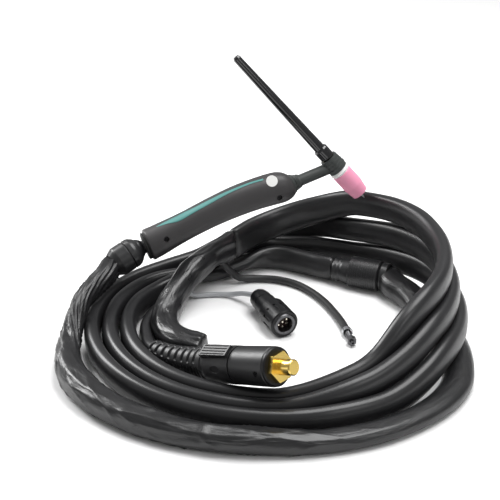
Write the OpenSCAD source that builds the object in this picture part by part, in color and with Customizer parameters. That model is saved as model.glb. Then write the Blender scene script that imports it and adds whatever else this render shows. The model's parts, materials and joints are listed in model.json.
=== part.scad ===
// Gas-cooled TIG welding torch with its hose package, coiled for storage.
// Layout: the floor lies at z = 0 while pieces are placed, then all is shifted so that the
// origin is the middle of the power plug's contact pin. +Z is up.

/* [Handle] */
// Length of the handle shells
handle_len = 155; // [150:1:160]
// Wall of the handle shells
handle_wall = 2.6; // [2:0.1:3]
// Shank diameter of the handle screws
screw_d = 3; // [2.5:0.1:3.2]
// Head diameter of the handle screws
screw_head_d = 5.6; // [5:0.1:6]
// Length of the handle screws
screw_len = 17; // [15:0.5:18]
// Diameter of the round badge seat on the handle
badge_d = 11.6; // [9:0.1:12.5]
// Thickness of the badge disc
badge_t = 1.2; // [1:0.1:1.5]
// Thickness of the coloured side inlays
inlay_t = 0.9; // [0.6:0.1:1.2]
// Length of the trigger button
trigger_len = 24; // [18:0.5:26]
// Height of the trigger button
trigger_h = 7; // [5:0.5:8]
// Travel of the trigger button
trigger_travel = 1.5; // [1:0.1:2]
// Length of the micro switch
switch_len = 20; // [14:0.5:22]
// Height of the micro switch
switch_h = 7.4; // [7.4:0.1:7.8]

/* [Neck and head] */
// Distance from the handle's rear face to the nozzle axis
head_reach = 203; // [196:1:210]
// Angle between the handle axis and the nozzle axis, in degrees
head_angle = 67.5; // [60:1:80]
// Diameter of the covered neck
neck_d = 11.6; // [10:0.2:13]
// Diameter of the bare tube inside the handle
tube_d = 6.4; // [5:0.2:7]
// Diameter of the head cover at its nozzle end
head_d = 21; // [20:0.5:23]
// Diameter of the head cover at its cap end
head_top_d = 18; // [16:0.5:19]
// Length of the head cover
head_len = 16; // [15:0.5:17]
// Diameter of the brass head body
core_d = 12.4; // [11:0.2:13]
// Bore of the head body
core_bore = 9.2; // [8:0.2:10]
// Number of grip ribs round the head cover
head_ribs = 4; // [2:1:5]

/* [Cap, electrode and nozzle] */
// Length of the long back cap above its collar
cap_len = 126; // [60:1:150]
// Diameter of the back cap at its tip
cap_tip_d = 8; // [7:0.1:9]
// Diameter of the back cap above its collar
cap_root_d = 11.5; // [9.5:0.1:13]
// Diameter of the back cap's collar
cap_collar_d = 15; // [13.5:0.1:16]
// Length of the back cap's collar
cap_collar_len = 11; // [8:0.5:13]
// Section diameter of the cap's sealing ring
oring_d = 1.9; // [1.4:0.1:2.2]
// Diameter of the tungsten electrode
electrode_d = 2.4; // [1.6:0.1:3.2]
// Length of the tungsten electrode
electrode_len = 150; // [75:1:155]
// Length of the electrode that stands out of the nozzle
stickout = 7; // [3:0.5:9]
// Outer diameter of the ceramic nozzle
nozzle_d = 20.5; // [19.5:0.1:21]
// Outer diameter of the nozzle's mouth
nozzle_mouth_d = 17; // [16:0.1:18]
// Bore of the nozzle's mouth
nozzle_bore = 12.4; // [11:0.1:13]
// Length of the ceramic nozzle
nozzle_len = 30; // [26:0.5:34]
// Thickness of the white gasket
gasket_t = 4.6; // [3:0.1:5]
// Diameter of the white gasket
gasket_d = 21; // [19:0.1:22]

/* [Swivel] */
// Diameter of the swivel ball
ball_d = 22; // [21:0.2:23]
// Outer diameter of the swivel socket
socket_d = 30; // [28.5:0.5:32]
// Bore for the leads through ball and socket
lead_bore = 9; // [7:0.2:9.6]
// Diameter of the ball's neck
ball_neck_d = 13; // [12:0.2:13.4]
// Length of the socket behind the ball's centre
socket_back = 26; // [24:0.5:28]
// Gap between the ball and its socket, a running fit
ball_gap = 0.08; // [0.05:0.01:0.1]

/* [Hose package] */
// Thickness of the flat-oval hose
hose_w = 15.5; // [14:0.1:15.8]
// Height of the flat-oval hose
hose_h = 25; // [22:0.1:25.2]
// Radius of the hose coil
coil_r = 173; // [171:0.5:174]
// Whole turns in the hose coil
coil_turns = 3; // [2:1:3]
// Width of the leather cover
leather_w = 28; // [24:0.5:29]
// Height of the leather cover where it lies free
leather_h = 24; // [20:0.5:25]
// Width of the end sleeve
sleeve_w = 26; // [22:0.5:28]
// Height of the end sleeve
sleeve_h = 28; // [24:0.5:29]
// Diameter of the hose coupler
coupler_d = 31; // [29:0.5:31]
// Length of the hose coupler
coupler_len = 33; // [28:0.5:34]
// Length of the coupler's cuff
cuff_len = 17; // [12:0.5:18]
// Length of the collar between leather cover and coupler
collar_len = 8; // [6:0.5:9]
// Diameter of the power cable
power_d = 12; // [11:0.1:13]
// Diameter of the control cable
control_d = 5; // [4:0.1:5.5]
// Diameter of the gas hose
gas_d = 7.2; // [6:0.1:7.6]

/* [Power plug] */
// Diameter of the contact pin
pin_d = 14; // [12:0.1:14.5]
// Length of the contact pin
pin_len = 14; // [12:0.5:18]
// Size of the brass hexagon across its flats
hex_af = 24; // [20:0.5:26]
// Height of the brass hexagon
hex_t = 5; // [4:0.5:7]
// Diameter of the plug housing
plug_d = 35; // [34:0.5:36]
// Length of the plug housing
plug_len = 45; // [36:1:50]
// Length of the rubber sleeve behind the housing
sleeve_len = 37; // [30:1:40]
// Diameter of the boot's narrow end
boot_tip_d = 18; // [16.5:0.5:19]
// Number of ribs on the boot
boot_ribs = 9; // [5:1:12]
// Width of the key on the sleeve
key_w = 12; // [8:0.5:13]
// Number of grooves along the key
key_grooves = 4; // [2:1:5]

/* [Control connector] */
// Diameter of the connector body
conn_d = 22; // [20.5:0.5:22]
// Diameter of the coupling ring
ring_d = 28; // [26.5:0.1:28]
// Length of the coupling ring
ring_len = 30; // [24:0.5:32]
// Length of the connector body
conn_len = 64; // [56:1:68]
// Number of pins round the centre pin
conn_pins = 6; // [3:1:7]
// Diameter of the contact pins
conn_pin_d = 1.6; // [1:0.1:2]
// Number of grip slots round the coupling ring
grip_slots = 12; // [6:1:14]

/* [Gas fitting] */
// Length of the gas fitting that shows
fitting_len = 20; // [16:0.5:22]
// Bore of the gas fitting
fitting_bore = 2.4; // [2:0.1:2.6]
// Radius of the fitting's nut over its corners
fitting_nut_r = 4.6; // [4:0.1:4.8]

/* [Hidden] */
$fn = 48;

// Clearances
fit = 0.1;      // between pieces that seat on each other
slack = 0.3;    // between pieces that only lie near each other
eps = 0.01;     // overrun of a cut past a face

// Places on the floor layout
pin_spot = [18, -177.1, 57.3];     // middle of the contact pin
plug_yaw = -41.8;
plug_pitch = 19.6;
handle_spot = [-115, 50, 63.5];  // centre of the handle's rear face
torch_yaw = 17.5;
torch_pitch = 16.9;
torch_roll = -12.5;
cup_yaw = 30;
cup_pitch = 22;
conn_spot = [19, -25.5, 14.1];   // centre of the connector's front face
conn_yaw = -66;

// ---------- vectors ----------
function unit(v) = v / norm(v);
function smooth(x) = let (c = min(1, max(0, x))) c * c * (3 - 2 * c);
function turned(v, roll, pitch, yaw) =
  let (a = [v.x, v.y * cos(roll) - v.z * sin(roll), v.y * sin(roll) + v.z * cos(roll)],
       b = [a.x * cos(pitch) - a.z * sin(pitch), a.y, a.x * sin(pitch) + a.z * cos(pitch)])
  [b.x * cos(yaw) - b.y * sin(yaw), b.x * sin(yaw) + b.y * cos(yaw), b.z];
function torch_point(p) = handle_spot + turned(p, torch_roll, torch_pitch, torch_yaw);
function cup_point(p) = ball_spot + turned(p, 0, cup_pitch, cup_yaw);
function plug_point(p) = pin_spot + turned(p, 0, plug_pitch, plug_yaw);
function conn_point(p) = conn_spot + turned(p, 0, 0, conn_yaw);

// ---------- swept tubes ----------
// Sections of six and eight corners with flat top and bottom, for a width and a height of 2
SIX = [[1, 0], [0.4, 1], [-0.4, 1], [-1, 0], [-0.4, -1], [0.4, -1]];
EIGHT = [[1, 0.42], [0.45, 1], [-0.45, 1], [-1, 0.42], [-1, -0.42], [-0.45, -1], [0.45, -1],
         [1, -0.42]];
function headings(path, first, last) = [for (i = [0:len(path) - 1])
  i == 0 ? unit(first) : i == len(path) - 1 ? unit(last) : unit(path[i + 1] - path[i - 1])];
function ring_at(p, t, shape, w, h) =
  let (s = unit(cross([0, 0, 1], t)), u = cross(t, s))
  [for (q = shape) p + s * q[0] * w / 2 + u * q[1] * h / 2];
function tube_faces(n, m) = concat(
  [for (j = [1:m - 2]) [0, j, j + 1]],
  [for (i = [0:n - 2], j = [0:m - 1]) [i * m + j, (i + 1) * m + j, i * m + (j + 1) % m]],
  [for (i = [0:n - 2], j = [0:m - 1])
    [(i + 1) * m + j, (i + 1) * m + (j + 1) % m, i * m + (j + 1) % m]],
  [for (j = [1:m - 2]) [(n - 1) * m, (n - 1) * m + j + 1, (n - 1) * m + j]]);
// sizes holds a width and a height for each point of the path
module tube(path, sizes, first, last, shape = EIGHT) {
  way = headings(path, first, last);
  rings = [for (i = [0:len(path) - 1]) ring_at(path[i], way[i], shape, sizes[i].x, sizes[i].y)];
  polyhedron([for (r = rings, p = r) p], tube_faces(len(path), len(shape)), convexity = 12);
}
function same(path, w, h) = [for (p = path) [w, h]];
module round_tube(path, d, first, last) tube(path, same(path, d, d), first, last);

// ---------- places ----------
module on_floor() translate(-pin_spot) children();
module in_torch() on_floor() translate(handle_spot)
  rotate([torch_roll, -torch_pitch, torch_yaw]) children();
// z runs down the nozzle from the point where the nozzle axis crosses the handle axis
module in_head() in_torch() translate([head_reach, 0, 0]) rotate([0, 90 + head_angle, 0]) children();
module in_cup() on_floor() translate(ball_spot) rotate([0, -cup_pitch, cup_yaw]) children();
// x runs out of the plug, from the middle of the contact pin
module in_plug() rotate([0, -plug_pitch, plug_yaw]) children();
module in_conn() on_floor() translate(conn_spot) rotate([0, 0, conn_yaw]) children();
// A cylinder along x from x0 to x1
module rod(x0, x1, r0, r1 = -1)
  translate([x0, 0, 0]) rotate([0, 90, 0]) cylinder(h = x1 - x0, r1 = r0, r2 = r1 < 0 ? r0 : r1);
// A turned piece along x: points are [x, radius]
module turned_piece(points) rotate([0, 90, 0]) rotate_extrude()
  polygon([for (p = points) [p[1], p[0]]]);

// ---------- handle ----------
// Stations along the handle: x as a share of its length, middle, half height, half width
STATIONS = [[0, -2.3, 15.8, 14.5], [0.08, -1.6, 15.2, 14], [0.18, -0.1, 14.2, 13.2],
  [0.29, 1.4, 13.7, 12.8], [0.4, 2.9, 13.9, 12.8], [0.52, 3.9, 14.4, 13], [0.63, 4.2, 15, 13.4],
  [0.75, 3.4, 15.4, 13.8], [0.85, 1.9, 15.9, 14], [0.93, 0.2, 15.6, 13.6], [0.974, -0.8, 13.4, 12],
  [1, -1.6, 10.4, 10]];
bulge = 2.5;             // exponent of the rounded handle section
handle_sides = 20;
neck_z = -1.5;           // the neck runs this far above the handle axis
ball_z = -2.5;           // and the ball's centre this far
ball_x = -14;
ball_spot = torch_point([ball_x, 0, ball_z]);
rear_wall = 3;
function blend(a, b, k) = a + (b - a) * k;
function station_at(x) =
  let (f = min(1, max(0, x / handle_len)),
       i = min(len(STATIONS) - 2, max([for (k = [0:len(STATIONS) - 1]) STATIONS[k][0] <= f ? k : 0])),
       a = STATIONS[i], b = STATIONS[i + 1], k = (f - a[0]) / (b[0] - a[0]))
  [for (c = [1:3]) blend(a[c], b[c], k)];
// Half width of the handle at x and height z
function flank(x, z) = let (s = station_at(x), q = min(1, abs(z - s[0]) / s[1]))
  s[2] * pow(1 - pow(q, bulge), 1 / bulge);
function bent(c) = sign(c) * pow(abs(c), 2 / bulge);
module handle_form(inset, x0, x1) {
  span = [for (s = STATIONS) let (x = s[0] * handle_len) if (x > x0 && x < x1) x];
  xs = concat([x0], span, [x1]);
  ring = [for (x = xs) let (s = station_at(x)) [for (j = [0:handle_sides - 1])
    let (a = 360 * j / handle_sides)
    [x, (s[2] - inset) * bent(cos(a)), s[0] + (s[1] - inset) * bent(sin(a))]]];
  polyhedron([for (r = ring, p = r) p], tube_faces(len(xs), handle_sides), convexity = 4);
}
// Screws: x as a share of the handle's length, and height
SCREWS = [[0.116, -0.4], [0.885, -6.3]];
screw_head_t = 2.4;
screw_head_y = -9.5;       // outer face of a screw's head
boss_end = 4.6;            // the bosses stop this far from the parting plane
screw_tail = screw_head_y + screw_head_t + screw_len;
module at_screws() for (s = SCREWS) translate([s[0] * handle_len, 0, s[1]]) rotate([-90, 0, 0])
  children();
badge_x = 0.877 * handle_len;
badge_z = 12.2;
badge_lean = 25;
badge_proud = 0.2;
module at_badge() translate([badge_x, -flank(badge_x, badge_z), badge_z])
  rotate([90 - badge_lean, 0, 0]) children();
trigger_x = 0.7 * handle_len;
trigger_z = 7.5;
trigger_proud = 2.2;
trigger_gap = 0.4;
trigger_y = flank(trigger_x, trigger_z);
module pill(len, h, y0, y1) translate([trigger_x, y0, trigger_z]) rotate([-90, 0, 0])
  linear_extrude(y1 - y0) {
    square([len - h, h], center = true);
    for (e = [-1, 1]) translate([e * (len - h) / 2, 0]) circle(d = h, $fn = 32);
  }
module handle_shell(side) {   // side is -1 near, 1 far
  difference() {
    handle_form(0, 0, handle_len);
    handle_form(handle_wall, rear_wall, handle_len + eps);
    translate([-eps, side > 0 ? -handle_len : 0, -handle_len / 2])
      cube([handle_len + 1, handle_len, handle_len]);
    translate([0, 0, ball_z]) rod(-eps, rear_wall + 1, ball_neck_d / 2 + slack);
    if (side < 0) {
      at_screws() translate([0, 0, -handle_len / 2]) {
        cylinder(h = handle_len / 2, d = screw_d + 2 * fit);
        cylinder(h = handle_len / 2 + screw_head_y + screw_head_t, d = screw_head_d + 2 * fit);
      }
      at_badge() translate([0, 0, badge_proud - badge_t]) cylinder(h = badge_t + 2, d = badge_d);
    }
    if (side > 0) {
      at_screws() cylinder(h = screw_tail + 1, d = screw_d + 2 * fit);
      pill(trigger_len + 2 * trigger_gap, trigger_h + 2 * trigger_gap, trigger_y / 2,
        trigger_y + 5);
    }
  }
}
// A boss round a screw, from the parting plane's side to the wall
module screw_bosses(side) {
  difference() {
    intersection() {
      at_screws() translate([0, 0, side < 0 ? -handle_len / 2 : boss_end])
        cylinder(h = handle_len / 2 - (side < 0 ? boss_end : 0), d = screw_head_d + 3);
      handle_form(handle_wall / 2, rear_wall / 2, handle_len - rear_wall);
    }
    at_screws() translate([0, 0, -handle_len / 2]) {
      cylinder(h = handle_len / 2 + (side > 0 ? screw_tail + 1 : 0), d = screw_d + 2 * fit);
      cylinder(h = handle_len / 2 + screw_head_y + screw_head_t, d = screw_head_d + 2 * fit);
    }
  }
}
module handle_near() color("#3b393b") in_torch() {
  handle_shell(-1);
  screw_bosses(-1);
}
// Shelves that hold the micro switch
shelf_t = 1.4;
module switch_shelves() intersection() {
  for (z = [-shelf_t - fit, switch_h + fit])
    translate([trigger_x - switch_len / 2, switch_y - 5, trigger_z - switch_h / 2 + z])
      cube([switch_len, handle_len / 4, shelf_t]);
  handle_form(handle_wall / 2, rear_wall, handle_len - rear_wall);
}
module handle_far() color("#3b393b") in_torch() {
  handle_shell(1);
  screw_bosses(1);
  switch_shelves();
}
// Inlay edges: x as a share of the handle's length, low edge and high edge
INLAY = [[0.09, 12.9, 13.2], [0.16, 12, 13.8], [0.235, 10.4, 14.4], [0.33, 12.1, 15.5],
  [0.45, 14.2, 17.1], [0.6, 16.6, 18.5], [0.74, 16.9, 18.2], [0.832, 15.5, 17]];
inlay_rows = 6;
inlay_lift = 0.5;
module inlay(side) {
  skin = [for (s = INLAY) let (x = s[0] * handle_len) [for (k = [0:inlay_rows])
    let (z = blend(s[2], s[1], pow(1 - k / inlay_rows, 1.8)), y = flank(x, z) + inlay_lift) [x, y, z]]];
  loop = [for (row = skin) concat([for (p = row) [p.x, side * p.y, p.z]],
    [for (k = [inlay_rows:-1:0]) [row[k].x, side * (row[k].y + inlay_t), row[k].z]])];
  pts = [for (r = side > 0 ? loop : [for (i = [len(loop) - 1:-1:0]) loop[i]], p = r) p];
  polyhedron(pts, [for (f = tube_faces(len(loop), 2 * (inlay_rows + 1))) [f[2], f[1], f[0]]],
    convexity = 4);
}
module grip_inlays() color("#63b3aa") in_torch() for (side = [-1, 1]) inlay(side);
module handle_screws() color("#8d9094") in_torch() at_screws() translate([0, 0, screw_head_y])
  difference() {
    union() {
      cylinder(h = screw_head_t, d = screw_head_d);
      cylinder(h = screw_head_t + screw_len, d = screw_d);
    }
    translate([0, 0, -eps]) cylinder(h = screw_head_t * 0.7, r = screw_head_d / 4, $fn = 6);
  }
module badge_disc() color("#f2f2f0") in_torch() at_badge() translate([0, 0, badge_proud - badge_t])
  cylinder(h = badge_t, d = badge_d - 2 * fit);
switch_y = trigger_y - handle_wall - trigger_travel - 2.2;   // face of the switch's plunger
module trigger_button() color("#55585a") in_torch()
  pill(trigger_len, trigger_h, switch_y + trigger_travel + fit, trigger_y + trigger_proud);
module micro_switch() color("#2f6f73") in_torch()
  translate([trigger_x - switch_len / 2, switch_y - 5, trigger_z - switch_h / 2]) {
    cube([switch_len, 4.4, switch_h]);
    translate([switch_len / 2 - 1, 4.4, switch_h / 2 - 1]) cube([2, 0.6, 2]);
    for (k = [0:2]) translate([2 + k * (switch_len - 5) / 2, -3, switch_h / 2 - 0.4]) cube([1, 3, 0.8]);
  }
module rear_ring() color("#26272a") in_torch() translate([0, 0, ball_z]) turned_piece([
  [-3.6, ball_neck_d / 2 + slack], [-3.6, 12.6], [-2.4, 14.2], [-1.4, 13.2], [-fit, 14.4],
  [-fit, ball_neck_d / 2 + slack]]);

// ---------- neck ----------
flange_len = 2.2;
flange_x = rear_wall + slack;
union_len = 12;
tube_x = 88;
boot_ring_len = 9.5;
module neck_tube() color("#b87333") in_torch() translate([0, 0, neck_z]) difference() {
  rod(tube_x, head_reach - core_d / 2 / sin(head_angle) - tube_d / 2 / tan(head_angle), tube_d / 2);
  rod(tube_x - 1, head_reach, tube_d / 2 - 1);
}
module tube_union() color("#c9a24a") in_torch() translate([0, 0, neck_z]) difference() {
  union() {
    rotate([0, 90, 0]) translate([0, 0, tube_x - union_len + 4]) cylinder(h = 8, r = 6.4, $fn = 6);
    rod(tube_x - union_len, tube_x + 3, tube_d / 2 + 1.6);
  }
  rod(tube_x - 1, tube_x + 4, tube_d / 2 + fit);
  rod(tube_x - union_len - 1, tube_x, tube_d / 2 - 1.2);
}
lead_d = 6.4;
lead_end = tube_x - union_len - fit;
LEAD = [[6.6, ball_z], [9.5, -1.2], [13, 2.6], [18, 5], [24, 5.4], [31, 4], [42, 1.2], [54, -0.6],
  [66, -1.3]];
lead_path = concat([for (p = LEAD) [p[0], 0, p[1]]], [[lead_end, 0, neck_z]]);
module inner_lead() color("#1d1e20") in_torch() round_tube(lead_path, lead_d, [1, 0, 0], [1, 0, 0]);
module neck_boot() color("#34363a") in_torch() translate([handle_len + fit, 0, neck_z])
  turned_piece([[0, neck_d / 2 + fit], [0, 9.6], [1.4, 9.9], [2.6, 9], [3.4, 7.9], [4.2, 8.4],
    [5, 7.5], [5.8, 7.9], [6.6, 7.1], [7.6, 7.3], [boot_ring_len, 6.5],
    [boot_ring_len, neck_d / 2 + fit]]);

// ---------- head ----------
head_top = -9.8;                       // cap end of the head cover
head_end = head_top + head_len;
gasket_z = head_end + fit;
nozzle_z = gasket_z + gasket_t + fit;
nozzle_end = nozzle_z + nozzle_len;
spigot_d = core_bore - 2 * fit;
spigot_end = head_top + 7;
body_end = nozzle_z + 15;
collet_d = electrode_d + 1.4;
electrode_top = nozzle_end + stickout - electrode_len;
module bored_round(z0, z1, r, bore) translate([0, 0, z0]) difference() {
  cylinder(h = z1 - z0, r = r);
  translate([0, 0, -1]) cylinder(h = z1 - z0 + 2, r = bore);
}
module head_core() color("#c9a24a") in_head()
  bored_round(head_top + fit, head_end - fit, core_d / 2, core_bore / 2);
module head_cover() color("#3f4644") {
  difference() {
    union() {
      in_head() translate([0, 0, head_top])
        cylinder(h = head_len, d1 = head_top_d, d2 = head_d - 0.8);
      in_head() for (k = [0:head_ribs - 1])
        translate([0, 0, head_top + 1.2 + k * (head_len - 2.4) / head_ribs])
          cylinder(h = (head_len - 2.4) / head_ribs * 0.55,
            d = blend(head_top_d, head_d, (k + 1) / head_ribs));
      in_torch() translate([0, 0, neck_z]) rod(handle_len - 5, head_reach, neck_d / 2);
    }
    in_head() translate([0, 0, head_top - 1]) cylinder(h = head_len + 2, r = core_d / 2 + fit);
    in_torch() translate([0, 0, neck_z]) rod(handle_len - 6, head_reach, tube_d / 2 + fit);
  }
}
body_d = nozzle_bore - 2 * fit;
gasket_bore = body_d / 2 + fit;
module cup_gasket() color("#f4f4f2") in_head() rotate_extrude() polygon([
  [gasket_bore, gasket_z], [gasket_d / 2 - 1.4, gasket_z],
  [gasket_d / 2 - 0.3, gasket_z + gasket_t * 0.25], [gasket_d / 2, gasket_z + gasket_t * 0.5],
  [gasket_d / 2 - 0.3, gasket_z + gasket_t * 0.75], [gasket_d / 2 - 1, gasket_z + gasket_t],
  [gasket_bore, gasket_z + gasket_t]]);
module collet_body() color("#c98a4b") in_head() difference() {
  union() {
    translate([0, 0, spigot_end + 1]) cylinder(h = nozzle_z - spigot_end, d = spigot_d);
    translate([0, 0, gasket_z]) cylinder(h = nozzle_z - gasket_z + 9, d = body_d);
    translate([0, 0, nozzle_z + 9]) cylinder(h = body_end - nozzle_z - 9, d = body_d - 2.4);
  }
  translate([0, 0, spigot_end]) cylinder(h = body_end - spigot_end + 1, d = collet_d + 2 * fit);
  for (a = [0:90:270]) rotate([0, 0, a]) translate([0, 0, body_end - 3]) rotate([0, 90, 0])
    cylinder(h = body_d, d = 1.4);
}
module collet() color("#b9794a") in_head()
  bored_round(spigot_end + 1.4, body_end + 1, collet_d / 2, electrode_d / 2 + 0.05);
module electrode() color("#9a9c9f") in_head() {
  translate([0, 0, electrode_top]) cylinder(h = electrode_len - 4, d = electrode_d);
  translate([0, 0, electrode_top + electrode_len - 4])
    cylinder(h = 4, d1 = electrode_d, d2 = electrode_d / 4);
}
module nozzle() color("#f0a6c2") in_head() rotate_extrude() polygon([
  [nozzle_bore / 2, nozzle_z], [nozzle_d / 2 - 0.6, nozzle_z], [nozzle_d / 2, nozzle_z + 0.6],
  [nozzle_d / 2, nozzle_z + nozzle_len * 0.62], [nozzle_d / 2 - 0.8, nozzle_z + nozzle_len * 0.75],
  [nozzle_mouth_d / 2, nozzle_end - 0.4], [nozzle_mouth_d / 2 - 0.4, nozzle_end],
  [nozzle_bore / 2, nozzle_end]]);
cap_seat = head_top - oring_d - 0.2;
module back_cap() color("#151517") in_head() rotate_extrude() polygon([
  [electrode_d / 2 + 0.6, spigot_end], [spigot_d / 2, spigot_end], [spigot_d / 2, cap_seat],
  [cap_collar_d / 2, cap_seat], [cap_collar_d / 2, cap_seat - cap_collar_len + 1.5],
  [cap_collar_d / 2 - 1, cap_seat - cap_collar_len],
  [cap_root_d / 2, cap_seat - cap_collar_len], [cap_tip_d / 2, cap_seat - cap_collar_len - cap_len + 2],
  [cap_tip_d / 2 - 1.2, cap_seat - cap_collar_len - cap_len],
  [0, cap_seat - cap_collar_len - cap_len], [0, cap_seat - cap_collar_len - cap_len + 2.4],
  [electrode_d / 2 + 0.6, cap_seat - cap_collar_len - cap_len + 2.4]]);
module cap_oring() color("#1a1a1a") in_head() translate([0, 0, head_top - 0.1 - oring_d / 2])
  rotate_extrude() translate([spigot_d / 2 + fit + oring_d / 2, 0]) circle(d = oring_d, $fn = 24);

// ---------- swivel ----------
rim_x = 4;
split_x = -8;
module swivel_ball() color("#202124") in_torch() translate([ball_x, 0, ball_z]) difference() {
  union() {
    sphere(d = ball_d);
    rod(0, flange_x - ball_x + flange_len / 2, ball_neck_d / 2);
    rod(flange_x - ball_x, flange_x - ball_x + flange_len, ball_neck_d / 2 + 2.6);
  }
  rod(-ball_d, ball_d * 2, lead_bore / 2);
}
socket_r = socket_d / 2;
module socket_front() color("#2c2d30") in_cup() difference() {
  turned_piece([[split_x + fit, 0], [split_x + fit, socket_r - 0.7], [split_x + 1, socket_r],
    [-3, socket_r], [-0.5, socket_r - 0.9], [2, socket_r - 2.6], [rim_x, socket_r - 4.4],
    [rim_x, 0]]);
  sphere(d = ball_d + 2 * ball_gap);
}
module socket_rear() color("#2c2d30") in_cup() difference() {
  turned_piece([[-socket_back, 0], [-socket_back, socket_r - 3.2], [-socket_back + 5, socket_r - 0.6],
    [-socket_back + 6.5, socket_r], [split_x - 1, socket_r], [split_x, socket_r - 0.7],
    [split_x, 0]]);
  sphere(d = ball_d + 2 * ball_gap);
  rod(-socket_back - 1, 0, lead_bore / 2);
}

// ---------- hose coil ----------
coil_centre = [9.5, -20.5, 0];
start_angle = 67.5;            // where the coupler feeds the first loop, 90 is the back
end_angle = 104.4;             // where the last loop runs into the end sleeve
rings_per_turn = 24;
side_pitch = hose_w + 1.4;     // between neighbours that lie side by side
stack_pitch = hose_h + 1.3;    // and between neighbours that lie on each other
leather_pass = 18;             // height of the cover where the coil lies on it
// Places in the bundle: 0 outside or bottom, 1 middle, 2 inside or top, for each loop in turn
PLACES = [1, 0, 2];
last_loop = min(len(PLACES), coil_turns);
// How far each loop has turned from beside its neighbour onto it
function fan(step, a) = let (f = a < 270 ? 0 : 90 * sin(90 * (a - 270) / 180))
  step == 1 ? f : f * smooth((a - 297) / 40);
function over_leather(a) = leather_pass * smooth((a - 300) / 34) * (1 - smooth((a - 382) / 50));
function drawn_in(a) = 4 * smooth((a - 345) / 55);
function slit(place, a) = (place == 2 ? 6 : place == 1 ? 1.5 : 0) * smooth((a - 375) / 45);
// Middle radius, middle height and lean of a loop from 180 to 420 degrees
function side_station(place, a) =
  let (steps = place == 0 ? [] : [for (k = [1:place]) fan(k, a)],
       ins = [for (f = steps) side_pitch * cos(f)],
       ups = [for (f = steps) (stack_pitch - side_pitch) * smooth(f / 30) + side_pitch * sin(f)],
       sum_in = len(ins) == 0 ? 0 : len(ins) == 1 ? ins[0] : ins[0] + ins[1],
       sum_up = len(ups) == 0 ? 0 : len(ups) == 1 ? ups[0] : ups[0] + ups[1])
  [coil_r - sum_in - drawn_in(a), hose_h / 2 + over_leather(a) + sum_up + slit(place, a), 0];
// Stations across the back at each 15 degrees from 75 to 165: the bottom and middle loops
// come down and fan out, and the first loop crosses flat under the third
BACK = [
  [[131.3, 14, 0], [141.5, 12.8, 0], [133.5, 11.5, 75], [131.9, 8.6, 90], [135.8, 12.2, 30],
   [146.7, 12.8, 0], [153.6, 12.7, 0]],
  [[181.3, 33, 0], [183.5, 18, 0], [176.5, 12.8, 0], [155.4, 12.8, 0], [155.3, 12.8, 0],
   [163.7, 12.7, 0], [170.6, 12.7, 0]],
  [[168.3, 13.5, 0], [164.5, 14, 0], [157.5, 26, 20], [132.9, 28, 80], [116.8, 20.5, 15],
   [129.2, 13, 0], [136.8, 12.7, 0]],
  [[167.3, 57, 0], [155.5, 44.5, 0], [129.5, 41, 0], [102.4, 38, 0]]];
first_rows = [[123.5, 15.5, 0], [123.5, 15.5, 0]];
function station(loop, j) =    // j counts steps of 15 degrees from 45
  j < 2 ? (loop == 0 ? first_rows[j] : side_station(PLACES[loop - 1], 405 + 15 * j)) :
  j < 9 ? BACK[min(loop, 3)][min(j - 2, len(BACK[min(loop, 3)]) - 1)] :
  side_station(PLACES[loop], 180 + 15 * (j - 9));
function curve(p, q, r, s, k) =
  0.5 * (2 * q + (r - p) * k + (2 * p - 5 * q + 4 * r - s) * k * k + (3 * q - p - 3 * r + s) * k * k * k);
function back_station(loop, a) = let (f = (a - 45) / 15, j = min(8, max(1, floor(f))))
  curve(station(loop, j - 1), station(loop, j), station(loop, j + 1), station(loop, j + 2), f - j);
function coil_station(a) = let (loop = floor((a - 60) / 360), b = a - 360 * loop)
  b < 180 ? back_station(loop, b) : side_station(PLACES[loop], b);
function coil_point(a) = let (s = coil_station(a))
  coil_centre + [s[0] * cos(a), s[0] * sin(a), s[1]];
coil_end = 360 * last_loop + end_angle;
coil_steps = floor((coil_end - start_angle) * rings_per_turn / 360);
coil_as = [for (i = [0:coil_steps]) start_angle + i * (coil_end - start_angle) / coil_steps];
coil_path = [for (a = coil_as) coil_point(a)];
start_way = [-sin(start_angle), cos(start_angle), 0];
end_way = unit(coil_point(coil_end) - coil_point(coil_end - 2));
run_out = hose_w;              // straight run at each end of the coil
coil_first = coil_path[0] - start_way * run_out;
coil_last = coil_path[coil_steps] + end_way * run_out;
full_path = concat([coil_first], coil_path, [coil_last]);
full_lean = concat([0], [for (a = coil_as) coil_station(a)[2]], [0]);
function leaned(shape, w, h, lean) = [for (q = shape)
  [q[0] * w / 2 * cos(lean) - q[1] * h / 2 * sin(lean), q[0] * w / 2 * sin(lean) + q[1] * h / 2 * cos(lean)]];
coil_way = headings(full_path, start_way, end_way);
// The last loop widens toward the end sleeve
function loop_h(i) = hose_h + 8 * smooth((coil_as[min(coil_steps, max(0, i - 1))] - coil_end + 60) / 50);
coil_rings = [for (i = [0:len(full_path) - 1])
  ring_at(full_path[i], coil_way[i], leaned(SIX, hose_w, loop_h(i), full_lean[i]), 2, 2)];
// Least gap between a loop and the loops after it: each section is a core of five points,
// half the thickness inside the surface
function core_point(a, k) = let (lean = coil_station(a)[2])
  coil_point(a) + k * (hose_h - hose_w) / 2 * [cos(a) * sin(lean), sin(a) * sin(lean), cos(lean)];
coil_cores = [for (a = [start_angle:3:coil_end]) [for (k = [-1:0.5:1]) core_point(a, k)]];
coil_gap = min([for (i = [0:len(coil_cores) - 1], turn = [120, 240], d = [-1:1])
  if (i + turn + d < len(coil_cores))
    min([for (p = coil_cores[i], q = coil_cores[i + turn + d]) norm(p - q)])]) - hose_w;
echo(coil_gap = coil_gap);
module hose_coil() color("#26272a") on_floor()
  polyhedron([for (r = coil_rings, p = r) p], tube_faces(len(coil_rings), len(SIX)), convexity = 12);

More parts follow.
